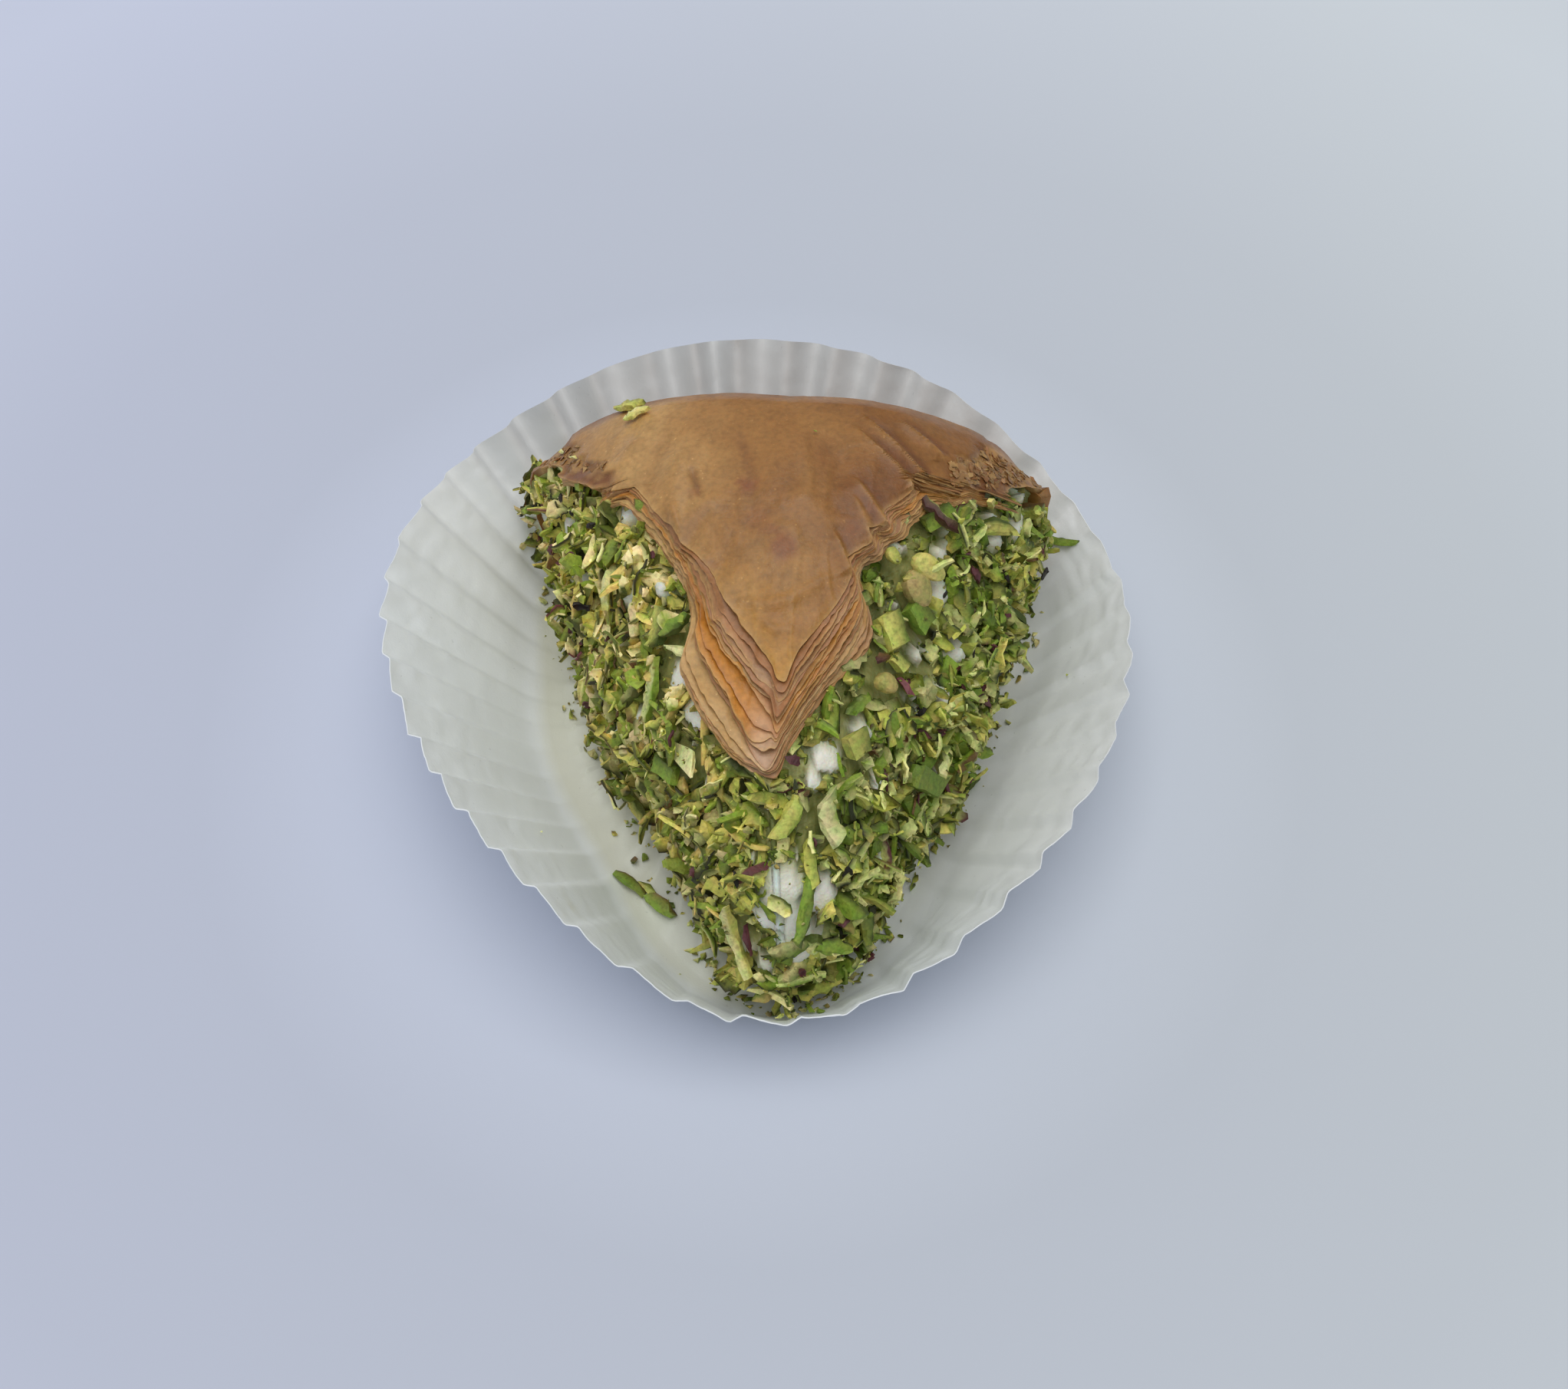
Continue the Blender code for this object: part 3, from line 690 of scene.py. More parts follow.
SKIN_THICKNESS = 1.1 * MM
FOLD_WRINKLE = 0.35 * MM  # height of the wrinkles on the folded back
THIN_EDGE = 0.2  # share of the skin's thickness at its free edge
THIN_REACH = 6.0 * MM
DOME_ROWS = 64
FOLD_ROWS = 26
BOTTOM_SHARES = (0.3, 0.6, 0.85, 1.0)  # rows of the skin's bottom, out from the middle
CALM_WINDOW = 61  # half degrees over which the inner rows of the skin are smoothed
CALMING = 5  # how fast the rows lose the edge's small ins and outs
EDGE_RAGGED = 0.10 * MM
EDGE_CURL = 0.35 * MM
END_BLEND = 0.12  # radians over which a sheet's edge blends in where it ends
LINE_STEPS = 6  # between two pixels of a line on the skin

# Laps of the skin on the right shoulder: pixels from the ridge down to a corner of the
# edge, the rise of the lap and how far it fades, in millimetres
LAPS = (
    (((1158, 542), (1193, 565), (1229, 596)), 0.55, 2.6),
    (((1113, 532), (1142, 559), (1174, 589), (1206, 621)), 0.60, 3.0),
    (((1100, 548), (1142, 587), (1170, 612), (1191, 639)), 0.50, 2.6),
    (((1103, 618), (1121, 634), (1142, 663), (1157, 684)), 0.50, 3.0),
    (((1107, 642), (1127, 675), (1138, 706)), 0.25, 1.8),
    (((1084, 689), (1097, 714), (1111, 746)), 0.45, 2.6),
)
# Soft ridges and hollows, with a painted highlight on the ridges and painted brown shade in the hollows:
# pixels, height and half width in millimetres
RIDGES = (
    (((943, 782), (990, 789), (1028, 782), (1071, 758), (1099, 751)), 0.22, 0.8),
    (((840, 568), (821, 590), (812, 612)), 0.45, 1.5),
    (((880, 562), (858, 590), (848, 622), (845, 650)), -0.40, 1.4),
    (((905, 573), (884, 606), (872, 650), (882, 700)), 0.35, 1.8),
    (((938, 640), (912, 668), (888, 700), (886, 722)), 0.30, 1.2),
    (((930, 655), (900, 690), (895, 722)), -0.35, 1.2),
    (((884, 742), (905, 752), (924, 785), (932, 806)), -0.9, 1.3),
    (((900, 716), (922, 745), (941, 778), (952, 795)), 0.35, 1.0),
    (((1020, 640), (1060, 660), (1090, 700)), 0.20, 1.8),
    (((1140, 534), (1170, 560), (1200, 590)), -0.35, 1.4),
    (((1075, 560), (1090, 600), (1100, 640)), -0.30, 2.0),
    (((1175, 530), (1225, 545), (1260, 560)), -0.3, 1.6),
    (((902, 608), (907, 628), (913, 650)), -0.35, 0.5),
    (((874, 652), (879, 672), (886, 692)), 0.30, 0.5),
    (((862, 664), (870, 688), (882, 712)), -0.50, 0.7),
    (((960, 560), (975, 600), (980, 650)), -0.15, 0.9),
    (((1035, 560), (1050, 610), (1048, 660)), 0.15, 0.9),
    (((985, 800), (1010, 820), (1040, 816)), 0.16, 0.5),
)
# Smudges and scratches on the skin: pixel, radius in millimetres, strength
SMUDGES = (
    (975, 632, 1.5, 0.80),
    (960, 640, 0.9, 0.35),
    (990, 677, 2.2, 0.30),
    (1020, 715, 2.1, 0.70),
    (1005, 692, 1.2, 0.45),
    (908, 640, 0.9, 0.4),
    (914, 742, 1.6, 0.65),
    (1060, 585, 3.5, 0.15),
    (880, 720, 1.8, 0.30),
    (1112, 690, 1.2, 0.35),
    (1133, 667, 0.8, 0.35),
)
# Where the skin is torn off the wings, and the layers under it show
TEARS = (
    ((690, 600), (705, 577), (722, 566), (738, 566), (748, 584), (772, 595), (790, 609), (808, 618)),
    (
        (1229, 597), (1241, 603), (1254, 592), (1275, 589),
        (1291, 576), (1309, 574), (1333, 603), (1362, 628),
    ),
)
TEAR_DEPTH = 0.8 * MM
CRAG_HEIGHT = 0.62 * MM
WAVE_HEIGHT = 0.30 * MM
VEIN_HEIGHT = 0.09 * MM
# Factors of the laps' and the ridges' heights
LAP_RISE = 1.5
RIDGE_RISE = 1.25


@functools.cache
def plan_line(pixels):
    """A smooth line in the pastry's plan through pixels of the skin."""
    return smooth_through([on_skin(pixel) for pixel in pixels], LINE_STEPS)


def torn_share(plan):
    """How surely each point lies where the skin is torn off, from 0 to 1."""
    torn = np.zeros(len(plan))
    for tear, left in zip(TEARS, (True, False)):
        line = np.array([on_skin(pixel) for pixel in tear])
        distance, _ = to_line(plan, line)
        inner = line[:, 0].max() if left else -line[:, 0].min()
        beyond = smooth_step((inner - plan[:, 0] * (1 if left else -1)) / (2 * MM))
        ragged = distance + 0.9 * MM * crumbled(raised(plan, 0), 2.2 * MM, 31)
        torn = np.maximum(torn, smooth_step(-ragged / (0.5 * MM) + 0.5) * beyond)
    return torn


def baked(plan, points, veins):
    """The skin's colours: browned in patches and darker towards the right, with painted light on its left
    and at the nose, where it is also more golden.
    """
    browned = 0.40 * crumbled(points, 10 * MM, 51, 4) - 0.25 * smooth_step(plan[:, 0] / (12 * MM)) + 0.12
    browned = browned + 0.14 * veins
    tint = mix(GOLD, LIGHT_GOLD, np.clip(0.30 + browned, 0, 1))
    tint = mix(tint, BROWN, np.clip(-0.15 - browned, 0, 0.4))
    # painted light at the nose and on the left side
    nose = smooth_step((4 * MM - plan[:, 1]) / (26 * MM))
    left = smooth_step((-4 * MM - plan[:, 0]) / (14 * MM)) * (1 - nose)
    return tint * (1 + SKIN_NOSE_PAINTED_LIGHT * nose[:, None] + SKIN_LEFT_PAINTED_LIGHT * left[:, None])


def with_laps(plan, rise, tint):
    """Adds laps, which fade out on one side of their edge, with a painted highlight along the edge and
    painted brown shade in the hollow on its other side."""
    for pixels, height, width in LAPS:
        distance, share = to_line(plan, plan_line(pixels))
        distance = distance / MM
        fading = np.exp(np.minimum(distance, 0) / width * 1.6)
        lap = np.where(distance < 0, fading, np.exp(-((distance / 0.26) ** 2)))
        strength = smooth_step(share / 0.35) * lap
        rise = rise + LAP_RISE * height * MM * strength * (share < 1)
        # painted brown shade in the hollow beyond the lap's edge
        valley_shade = np.exp(-(((distance - 0.9) / 0.8) ** 2)) * smooth_step(share / 0.5) * (share < 1)
        tint = mix(tint, BROWN, 0.9 * valley_shade)
        # a painted highlight along the lap's edge
        light = 0.85 * np.exp(-((distance / 0.45) ** 2)) * smooth_step(share / 0.5)
        tint = mix(tint, LIGHT_GOLD, light)
    return rise, tint


def with_ridges(plan, rise, tint):
    """Adds ridges with a painted highlight and hollows with painted brown shade."""
    for pixels, height, width in RIDGES:
        distance, share = to_line(plan, plan_line(pixels))
        bell = np.exp(-((distance / MM / width) ** 2)) * smooth_step(4 * share * (1 - share) + 0.15)
        rise = rise + RIDGE_RISE * height * MM * bell
        # painted highlight on ridges, painted brown shade in hollows
        tint = mix(tint, BROWN if height < 0 else LIGHT_GOLD, bell * min(0.65, 0.38 / width))
    return rise, tint


def smudged(plan, points, tint):
    """Adds the smudges."""
    uneven = 0.5 * crumbled(points, 1.5 * MM, 61)
    for x, y, radius, strength in SMUDGES:
        away = np.linalg.norm(plan - on_skin((x, y)), axis=1) / MM + uneven
        tint = mix(tint, SMUDGE, 1.1 * strength * smooth_step(1.3 - away / radius))
    return tint


def skin_relief(plan):
    """Rise and colour of the uppermost skin over its smooth form."""
    points = raised(plan, 0)
    veins = np.exp(-((rough(points * (1, 0.4, 1), 4.5 * MM, 43) / 0.11) ** 2))
    rise = WAVE_HEIGHT * crumbled(points * (1, 0.5, 1), 7 * MM, 41, 4) + VEIN_HEIGHT * veins
    rise, tint = with_laps(plan, rise, baked(plan, points, veins))
    rise, tint = with_ridges(plan, rise, tint)
    tint = smudged(plan, points, tint)
    torn = torn_share(plan)
    crags = CRAG_HEIGHT * crumbled(points, 3.4 * MM, 71, 3) - TEAR_DEPTH
    bits = np.clip(0.55 + 1.3 * crumbled(points, 2.6 * MM, 81, 3), 0, 1)
    layers = mix(mix(BROWN, PINK, 0.15), PALE, 0.58 * bits)
    return rise * (1 - torn) + crags * torn, mix(tint, layers, torn)


# Edges of the sheets at the nose, from the left shoulder over the tip to the right one,
# as the photo shows them: the uppermost sheet, two between, and the lowest
SHEET_EDGES = (
    (
        (702, 628), (722, 623), (745, 623), (765, 628), (785, 640), (806, 634), (815, 624),
        (843, 651), (851, 664), (874, 684), (887, 705), (901, 716), (927, 746), (938, 770),
        (950, 790), (962, 805), (966, 815), (975, 824), (990, 842), (1005, 862), (1012, 880),
        (1023, 888), (1030, 872), (1040, 850), (1052, 835), (1065, 818), (1075, 805), (1090, 787),
        (1102, 770), (1107, 758), (1111, 745), (1105, 727), (1122, 716), (1137, 705), (1132, 692),
        (1145, 688), (1157, 684), (1152, 668), (1172, 655), (1190, 639), (1183, 626), (1195, 622),
        (1206, 621), (1222, 632), (1240, 640), (1274, 633), (1304, 636), (1333, 644), (1350, 662),
    ),
    (
        (700, 630), (722, 625), (745, 625), (765, 631), (785, 643), (812, 632), (840, 656),
        (848, 668), (870, 690), (884, 716), (900, 742), (914, 772), (922, 800), (925, 820),
        (935, 832), (942, 848), (955, 862), (970, 880), (982, 898), (998, 912), (1006, 922),
        (1009, 938), (1013, 951), (1024, 932), (1040, 907), (1056, 884), (1070, 862), (1086, 838),
        (1098, 818), (1110, 796), (1120, 778), (1118, 762), (1112, 742), (1124, 722), (1140, 712),
        (1142, 696), (1160, 690), (1162, 672), (1180, 660), (1194, 645), (1202, 630), (1222, 634),
        (1240, 642), (1274, 635), (1304, 638), (1333, 646), (1350, 664),
    ),
    (
        (700, 633), (722, 628), (745, 628), (765, 634), (785, 647), (808, 638), (836, 662),
        (846, 674), (864, 698), (880, 726), (894, 752), (906, 780), (910, 806), (906, 830),
        (912, 856), (918, 868), (930, 890), (948, 915), (956, 935), (968, 955), (980, 978),
        (996, 1001), (1008, 990), (1020, 965), (1038, 938), (1056, 912), (1074, 888), (1094, 864),
        (1112, 840), (1122, 818), (1126, 796), (1123, 776), (1116, 752), (1126, 730), (1146, 718),
        (1150, 702), (1170, 694), (1176, 676), (1194, 662), (1204, 648), (1222, 642), (1240, 645),
        (1274, 638), (1304, 641), (1333, 649), (1350, 667),
    ),
    (
        (700, 636), (722, 631), (745, 631), (765, 637), (785, 651), (808, 648), (832, 668),
        (842, 682), (860, 706), (876, 734), (890, 760), (900, 788), (900, 816), (894, 842),
        (887, 866), (888, 880), (900, 905), (915, 935), (935, 965), (950, 984), (975, 1001),
        (1006, 1014), (1016, 1006), (1027, 977), (1045, 952), (1062, 927), (1078, 905),
        (1096, 886), (1116, 866), (1132, 846), (1138, 826), (1135, 802), (1129, 778), (1121, 756),
        (1128, 736), (1150, 724), (1160, 706), (1182, 694), (1192, 676), (1206, 664), (1218, 652),
        (1240, 649), (1274, 642), (1304, 645), (1333, 652), (1350, 670),
    ),
)


# The search for the height of the sheet that a pixel shows
FIRST_HEIGHT = 38 * MM
SEEKING_STEPS = 14


def on_level(pixel, level):
    """As on_skin, for a sheet that lies lower by a share of the stack."""
    way = sight(pixel)
    height = FIRST_HEIGHT
    for _ in range(SEEKING_STEPS):
        drop = CAMERA_PLACE.z - PASTRY_PLACE[2] - height
        plan = unplaced(CAMERA_PLACE - way * (drop / way.z))[:2]
        wanted = skin_height(plan[None])[0] - level * stack_height(plan[None])[0]
        height = between(height, wanted, 0.7)
    return plan


@functools.cache
def on_skin(pixel):
    """The place in the pastry's plan that a pixel of the photograph shows, on the skin."""
    return on_level(pixel, 0)


def bearings(plan):
    """Directions from the middle of the dome, 0 towards the tip and growing to the right."""
    off = plan - MIDDLE
    return np.arctan2(off[:, 0], -off[:, 1]), np.hypot(off[:, 0], off[:, 1])


def reach_of(pixels, level, wanted):
    """How far from the middle a sheet's edge is, in the wanted directions."""
    corners = np.array([on_level(pixel, level) for pixel in pixels])
    turns, reaches = bearings(smooth_through(corners, 5))
    order = np.argsort(turns, kind="stable")
    return np.interp(wanted, turns[order], reaches[order]), turns.min(), turns.max()


def sheet_reaches(wanted):
    """Rows of how far each of the four sheets reaches in the wanted directions."""
    levels = np.linspace(0, 1, len(SHEET_EDGES))
    return np.array([reach_of(edge, level, wanted)[0] for edge, level in zip(SHEET_EDGES, levels)])


def out_from_middle(turns, reach):
    """Points in plan, by direction and distance from the middle of the dome."""
    return MIDDLE + reach[:, None] * np.column_stack([np.sin(turns), -np.cos(turns)])


def ragged(turns, reach, seed, amount):
    """How far a sheet's edge wanders in and out."""
    points = raised(out_from_middle(turns, reach), 0)
    return amount * (rough(points, 3.1 * MM, seed) + 0.8 * rough(points, 0.7 * MM, seed + 1))


def skin_edge():
    """The edge of the uppermost sheet: as in the photo between the wings."""
    turns, plain = bearings(EDGE)
    seen, low, high = reach_of(SHEET_EDGES[0], 0, turns)
    past_low, past_high = ((turns - low) / END_BLEND, (high - turns) / END_BLEND)
    reach = between(plain, seen, smooth_step(past_low + 0.5) * smooth_step(past_high + 0.5))
    reach = reach + ragged(turns, reach, 91, EDGE_RAGGED) * (1 - IN_FOLD)
    return out_from_middle(turns, reach)


def calmed(turns, reach):
    """How far the edge is from the middle, without its small ins and outs."""
    even = np.linspace(-math.pi, math.pi, 721)[:-1]
    order = np.argsort(turns)
    known = np.interp(even, turns[order], reach[order], period=2 * math.pi)
    window = np.hanning(CALM_WINDOW) / np.hanning(CALM_WINDOW).sum()
    wide = np.concatenate([known[-CALM_WINDOW:], known, known[:CALM_WINDOW]])
    calm = np.convolve(wide, window, "same")[CALM_WINDOW:-CALM_WINDOW]
    return np.interp(turns, even, calm, period=2 * math.pi)


def skin_rows():
    """Rows of the uppermost sheet from its edge to near the middle of the dome."""
    open_side = 1 - IN_FOLD
    edge = skin_edge()
    curl = EDGE_CURL * rough(raised(edge, 0), 4 * MM, 93) * open_side
    turns, reach = bearings(edge)
    calm = calmed(turns, reach)
    plans = []
    for share in np.linspace(0, 1, DOME_ROWS + 1)[:-1]:
        kept = calm * (1 - share) + (reach - calm) * (1 - share) ** CALMING
        plans.append(out_from_middle(turns, kept))
    rise, tint = skin_relief(np.vstack(plans))
    rows = []
    for row, plan in enumerate(plans):
        part = slice(row * COLUMNS, (row + 1) * COLUMNS)
        inside = np.linalg.norm(plan - edge, axis=1)
        height = skin_height(plan) + rise[part] + curl * np.exp(-inside / (0.9 * MM))
        rim = 0.55 * np.exp(-inside / (0.45 * MM)) * open_side
        rows.append((raised(plan, height), mix(tint[part], PALE, rim)))
    return edge, rows


def back_rows(top):
    """Rows of the rounded back, from the bottom up to the skin's edge."""
    rows = []
    for up in np.linspace(0, 1, FOLD_ROWS + 2)[1:-1]:
        row = fold_row(up, 0, top, 0)
        wrinkle = FOLD_WRINKLE * crumbled(row * (1, 1, 2.2), 7 * MM, 101, 4)
        row[:, :2] += OUTWARD * (wrinkle * smooth_step(4 * up * (1 - up)))[:, None]
        browned = np.clip(0.4 + 0.9 * crumbled(row * (1, 1, 2.5), 8 * MM, 111), 0, 1)
        rows.append((row, mix(mix(GOLD, BROWN, np.full(COLUMNS, 0.25)), LIGHT_GOLD, browned)))
    return rows


def skin_faces(rows, low, high):
    """Faces of the skin's rows, closed by a point at the bottom and one at the top. The
    back is closed where the fold is, and open along the sides."""
    last = (rows - 1) * COLUMNS
    faces = []
    for here in range(COLUMNS):
        after = (here + 1) % COLUMNS
        faces.append((low, after, here))
        faces.append((last + here, last + after, high))
        shut = IN_FOLD[here] > 0.5 and IN_FOLD[after] > 0.5
        for row in range(rows - 1):
            if shut or row < len(BOTTOM_SHARES) - 1 or row >= len(BOTTOM_SHARES) + FOLD_ROWS:
                start = row * COLUMNS
                corners = (here, after, COLUMNS + after, COLUMNS + here)
                faces.append(tuple(start + corner for corner in corners))
    return faces


def phyllo_skin():
    """The folded shell: bottom, rounded back and domed top, all one sheet."""
    edge, dome = skin_rows()
    rim = BASE - OUTWARD * (LOWEST_DRAWN_IN * (1 - IN_FOLD))[:, None]
    plain = mix(GOLD, LIGHT_GOLD, np.full(COLUMNS, 0.2))
    rows = [(raised(MIDDLE + (rim - MIDDLE) * share, 0), plain) for share in BOTTOM_SHARES]
    rows += back_rows(dome[0][0][:, 2]) + dome
    places = np.vstack([row for row, _ in rows] + [[(*MIDDLE, 0)], [top_of_dome()]])
    tint = np.vstack([tint for _, tint in rows] + [plain[:1], plain[:1]])
    faces = skin_faces(len(rows), len(places) - 2, len(places) - 1)
    weight = edge_weight(places, edge)
    used = np.zeros(len(places), bool)
    for face in faces:
        used[list(face)] = True
    number = np.cumsum(used) - 1
    faces = [tuple(int(number[corner]) for corner in face) for face in faces]
    piece = new_object("phyllo_skin", placed(places[used]), faces, PHYLLO, tint[used])
    thickened(piece, SKIN_THICKNESS, -1.0, weight[used], PASTRY_PLACE[2])
    smoothed(piece, 50)
    return piece


def edge_weight(places, edge):
    """The skin's thickness, as a share: thin at its free edge on the nose and shoulders."""
    weight = np.ones(len(places))
    dome_start = (len(BOTTOM_SHARES) + FOLD_ROWS) * COLUMNS
    for row in range(DOME_ROWS):
        start = dome_start + row * COLUMNS
        inside = np.linalg.norm(places[start : start + COLUMNS, :2] - edge, axis=1)
        thin = THIN_EDGE + (1 - THIN_EDGE) * smooth_step(inside / THIN_REACH)
        weight[start : start + COLUMNS] = between(thin, 1.0, IN_FOLD)
    return weight


def top_of_dome():
    """The point that closes the dome."""
    middle = MIDDLE[None]
    return (*MIDDLE, skin_height(middle)[0] + skin_relief(middle)[0][0])


# Leaves of the stack at the nose: place on the left side between the four sheets' edges
# (0 for the uppermost to 3 for the lowest), and colour of its surface
LEAVES = (
    (0.30, mix(GOLD, PINK, 0.5)),
    (0.58, PINK),
    (0.68, mix(LIGHT_GOLD, PINK, 0.7)),
    (0.80, PINK),
    (0.92, LIGHT_GOLD),
    (1.00, ORANGE),
    (1.55, ORANGE),
    (1.90, ORANGE),
    (1.97, LIGHT_GOLD),
    (2.04, LIGHT_GOLD),
    (2.60, PALE),
    (2.88, PALE),
    (2.95, PALE),
    (3.00, PALE),
    (3.00, LIGHT_GOLD),
    (2.97, PALE),
)
SHEET_THICKNESS = 0.16 * MM
SHEET_SPACING = 0.10 * MM  # between two sheets where the stack is closed
SKIN_EDGE_DEPTH = 0.16 * MM  # of the first leaf under the skin
SHEET_DIRECTIONS = 500
SHEET_ROWS = 11
SHEET_DIVE = 0.5 * MM  # by how much a leaf lies lower inside its edge
SHEET_DEPTH = 0.5  # share of the way to the middle that a lower sheet reaches
SHEETS_SPAN = (-1.84, 1.80)  # directions in which the sheets end, in radians
LEAVES_SHOW_FROM = -1.60  # direction beyond which they stay under the skin
LEAVES_HIDDEN_BY = 1.5 * MM
TIP_TURN = -0.03  # direction of the nose's tip
TIP_BLEND = 0.10  # radians over which the left side's values turn into the right's
LEAF_RAGGED = 0.19 * MM
LEAF_WAVE = 0.25 * MM
LEAF_CURL = 0.45 * MM
LOWEST_EDGE = len(SHEET_EDGES) - 1


def read_between(rows, place):
    """Values between rows, where place counts rows."""
    low = np.clip(np.floor(place).astype(int), 0, len(rows) - 2)
    column = np.arange(rows.shape[1])
    return between(rows[low, column], rows[low + 1, column], place - low)


def leaf_edge(number, left, turns, reaches, rightness, seed):
    """The edge of one leaf of the stack, in plan."""
    right = LOWEST_EDGE * (number + 1) / len(LEAVES)
    uneven = 0.12 * rough(np.column_stack([turns, turns * 0, turns * 0]), 0.16, seed + 5)
    place = between(left, right, rightness) + uneven * (0.4 + 0.6 * rightness)
    reach = read_between(reaches, np.clip(place, 0, LOWEST_EDGE))
    reach = reach + ragged(turns, reach, seed, LEAF_RAGGED)
    hidden = smooth_step((LEAVES_SHOW_FROM - turns) / END_BLEND)
    reach = between(reach, np.minimum(reach, reaches[0] - LEAVES_HIDDEN_BY), hidden)
    return out_from_middle(turns, reach)


def leaf_height(number, plan, inside, curl, seed):
    """Height of one row of a leaf, which lies at distances inside the leaf's edge."""
    wavy = LEAF_WAVE * rough(raised(plan, 0), 4.5 * MM, seed + 2) * np.exp(-inside / (3 * MM))
    bent = curl * np.exp(-inside / (1.0 * MM))
    stack = stack_height(plan)
    below = number + 1
    drop = below / len(LEAVES) * stack + below * SHEET_SPACING * (1 - stack / STACK_HEIGHT)
    loose = 0.2 + 0.8 * smooth_step(stack / (2 * MM))
    rise, _ = skin_relief(plan)
    dive = SHEET_DIVE * smooth_step(inside / (3.5 * MM))
    return skin_height(plan) + rise - SKIN_EDGE_DEPTH - dive - drop + (wavy + bent) * loose


def leaf_tint(number, colour, plan, inside, turns, rightness, seed):
    """Colours of one row of a leaf: pinker on the right, with a band of painted shade a little inside its
    edge, and pale at its rim and tip.
    """
    streak = crumbled(raised(plan, 0), 2.5 * MM, seed + 4)
    pinker = np.clip(0.2 + 0.7 * streak, 0, 0.8) * between(0.12, 0.8, rightness)
    # a band of painted brown shade a little inside the leaf's edge, stronger on the right
    shade_band = np.exp(-(((inside / MM - 1.2) / 0.9) ** 2))
    tint = mix(mix(colour, PINK, pinker), BROWN, np.clip(0.22 * shade_band * rightness, 0, 1))
    at_tip = np.exp(-(((turns - TIP_TURN) / 0.06) ** 2) - (inside / (3 * MM)) ** 2)
    tint = mix(tint, TIP_PALE, 0.8 * ((number + 1) / len(LEAVES)) * at_tip)
    rim = np.exp(-inside / (0.3 * MM))
    return mix(tint, PALE if number % 3 else PINK, 0.65 * rim)


def leaf(number, turns, reaches):
    """Points and colours of one leaf of the stack, row after row from its edge inwards."""
    left, colour = LEAVES[number]
    seed = 200 + 7 * number
    rightness = smooth_step((turns - TIP_TURN) / TIP_BLEND + 0.5)
    edge = leaf_edge(number, left, turns, reaches, rightness, seed)
    curl = LEAF_CURL * rough(raised(edge, 0), 5 * MM, seed + 3)
    places, tints = [], []
    for row in range(SHEET_ROWS):
        way = SHEET_DEPTH * (row / (SHEET_ROWS - 1)) ** 1.6
        plan = edge + (MIDDLE - edge) * way
        inside = np.linalg.norm(plan - edge, axis=1)
        places.append(raised(plan, leaf_height(number, plan, inside, curl, seed)))
        tints.append(leaf_tint(number, colour, plan, inside, turns, rightness, seed))
    return np.vstack(places), np.vstack(tints)


def nose_sheets():
    """The leaves under the skin: two pieces, the upper leaves and the lower ones."""
    turns = np.linspace(*SHEETS_SPAN, SHEET_DIRECTIONS)
    reaches = sheet_reaches(turns)
    leaves = [leaf(number, turns, reaches) for number in range(len(LEAVES))]
    half = len(leaves) // 2
    pieces = []
    for name, part in (("phyllo_sheets_upper", leaves[:half]), ("phyllo_sheets_lower", leaves[half:])):
        places, tints = (np.vstack(column) for column in zip(*part))
        firsts = SHEET_ROWS * SHEET_DIRECTIONS * np.arange(len(part))
        faces = [grid_faces(SHEET_ROWS, SHEET_DIRECTIONS, False, first) for first in firsts]
        piece = new_object(name, placed(places), np.vstack(faces), PHYLLO, tints)
        thickened(piece, SHEET_THICKNESS)
        smoothed(piece, 60)
        pieces.append(piece)
    return pieces


WING_BITS = 420  # crumbled layers on the wings


def wing_flakes():
    """Small broken bits of phyllo where the skin is torn off the wings."""
    draw = np.random.default_rng(17)
    plan = np.column_stack([
        draw.choice((-1, 1), WING_BITS * 4) * draw.uniform(20, 37, WING_BITS * 4),
        draw.uniform(9, 27, WING_BITS * 4),
    ]) * MM
    plan = plan[(torn_share(plan) > 0.5) & inside_edge(plan)][:WING_BITS]
    rise, _ = skin_relief(plan)
    places, faces, tints, count = [], [], [], 0
    for (x, y), up in zip(plan, rise):
        length = draw.uniform(0.7, 2.8) * MM
        points, parts, _ = chunk(draw, length, length * draw.uniform(0.4, 0.8), 0.28 * MM, 9)
        near = np.array(((x, y), (x + MM / 2, y), (x, y + MM / 2)))
        here, beside, behind = skin_height(near)
        slope = np.array((here - beside, here - behind, MM / 2))
        axes = tilted(draw, axes_for(slope, draw.normal(0, 1, 3)), 9)
        centre = np.array((x, y, here + up + draw.uniform(-0.1, 0.2) * MM))
        places.append(points @ axes.T + centre)
        faces += [tuple(corner + count for corner in part) for part in parts]
        count += len(points)
        tint = mix(mix(GOLD, PINK, draw.uniform(0, 1)), PALE, draw.uniform(0, 0.9))
        tints.append(np.tile(tint * draw.uniform(0.5, 0.95), (len(points), 1)))
    piece = new_object("phyllo_flakes", placed(np.vstack(places)), faces, PHYLLO, np.vstack(tints))
    smoothed(piece, 35)
    return piece


def inside_edge(plan):
    """Whether points in plan lie well inside the sheets' edge."""
    turns, reach = bearings(plan)
    edge_turns, edge_reach = bearings(EDGE)
    order = np.argsort(edge_turns)
    limit = np.interp(turns, edge_turns[order], edge_reach[order], period=2 * math.pi)
    return reach < limit - 0.3 * MM


# ---------------------------------------------------------------- cream

WALL_STEPS = 9  # rows in each span of the walls' profile
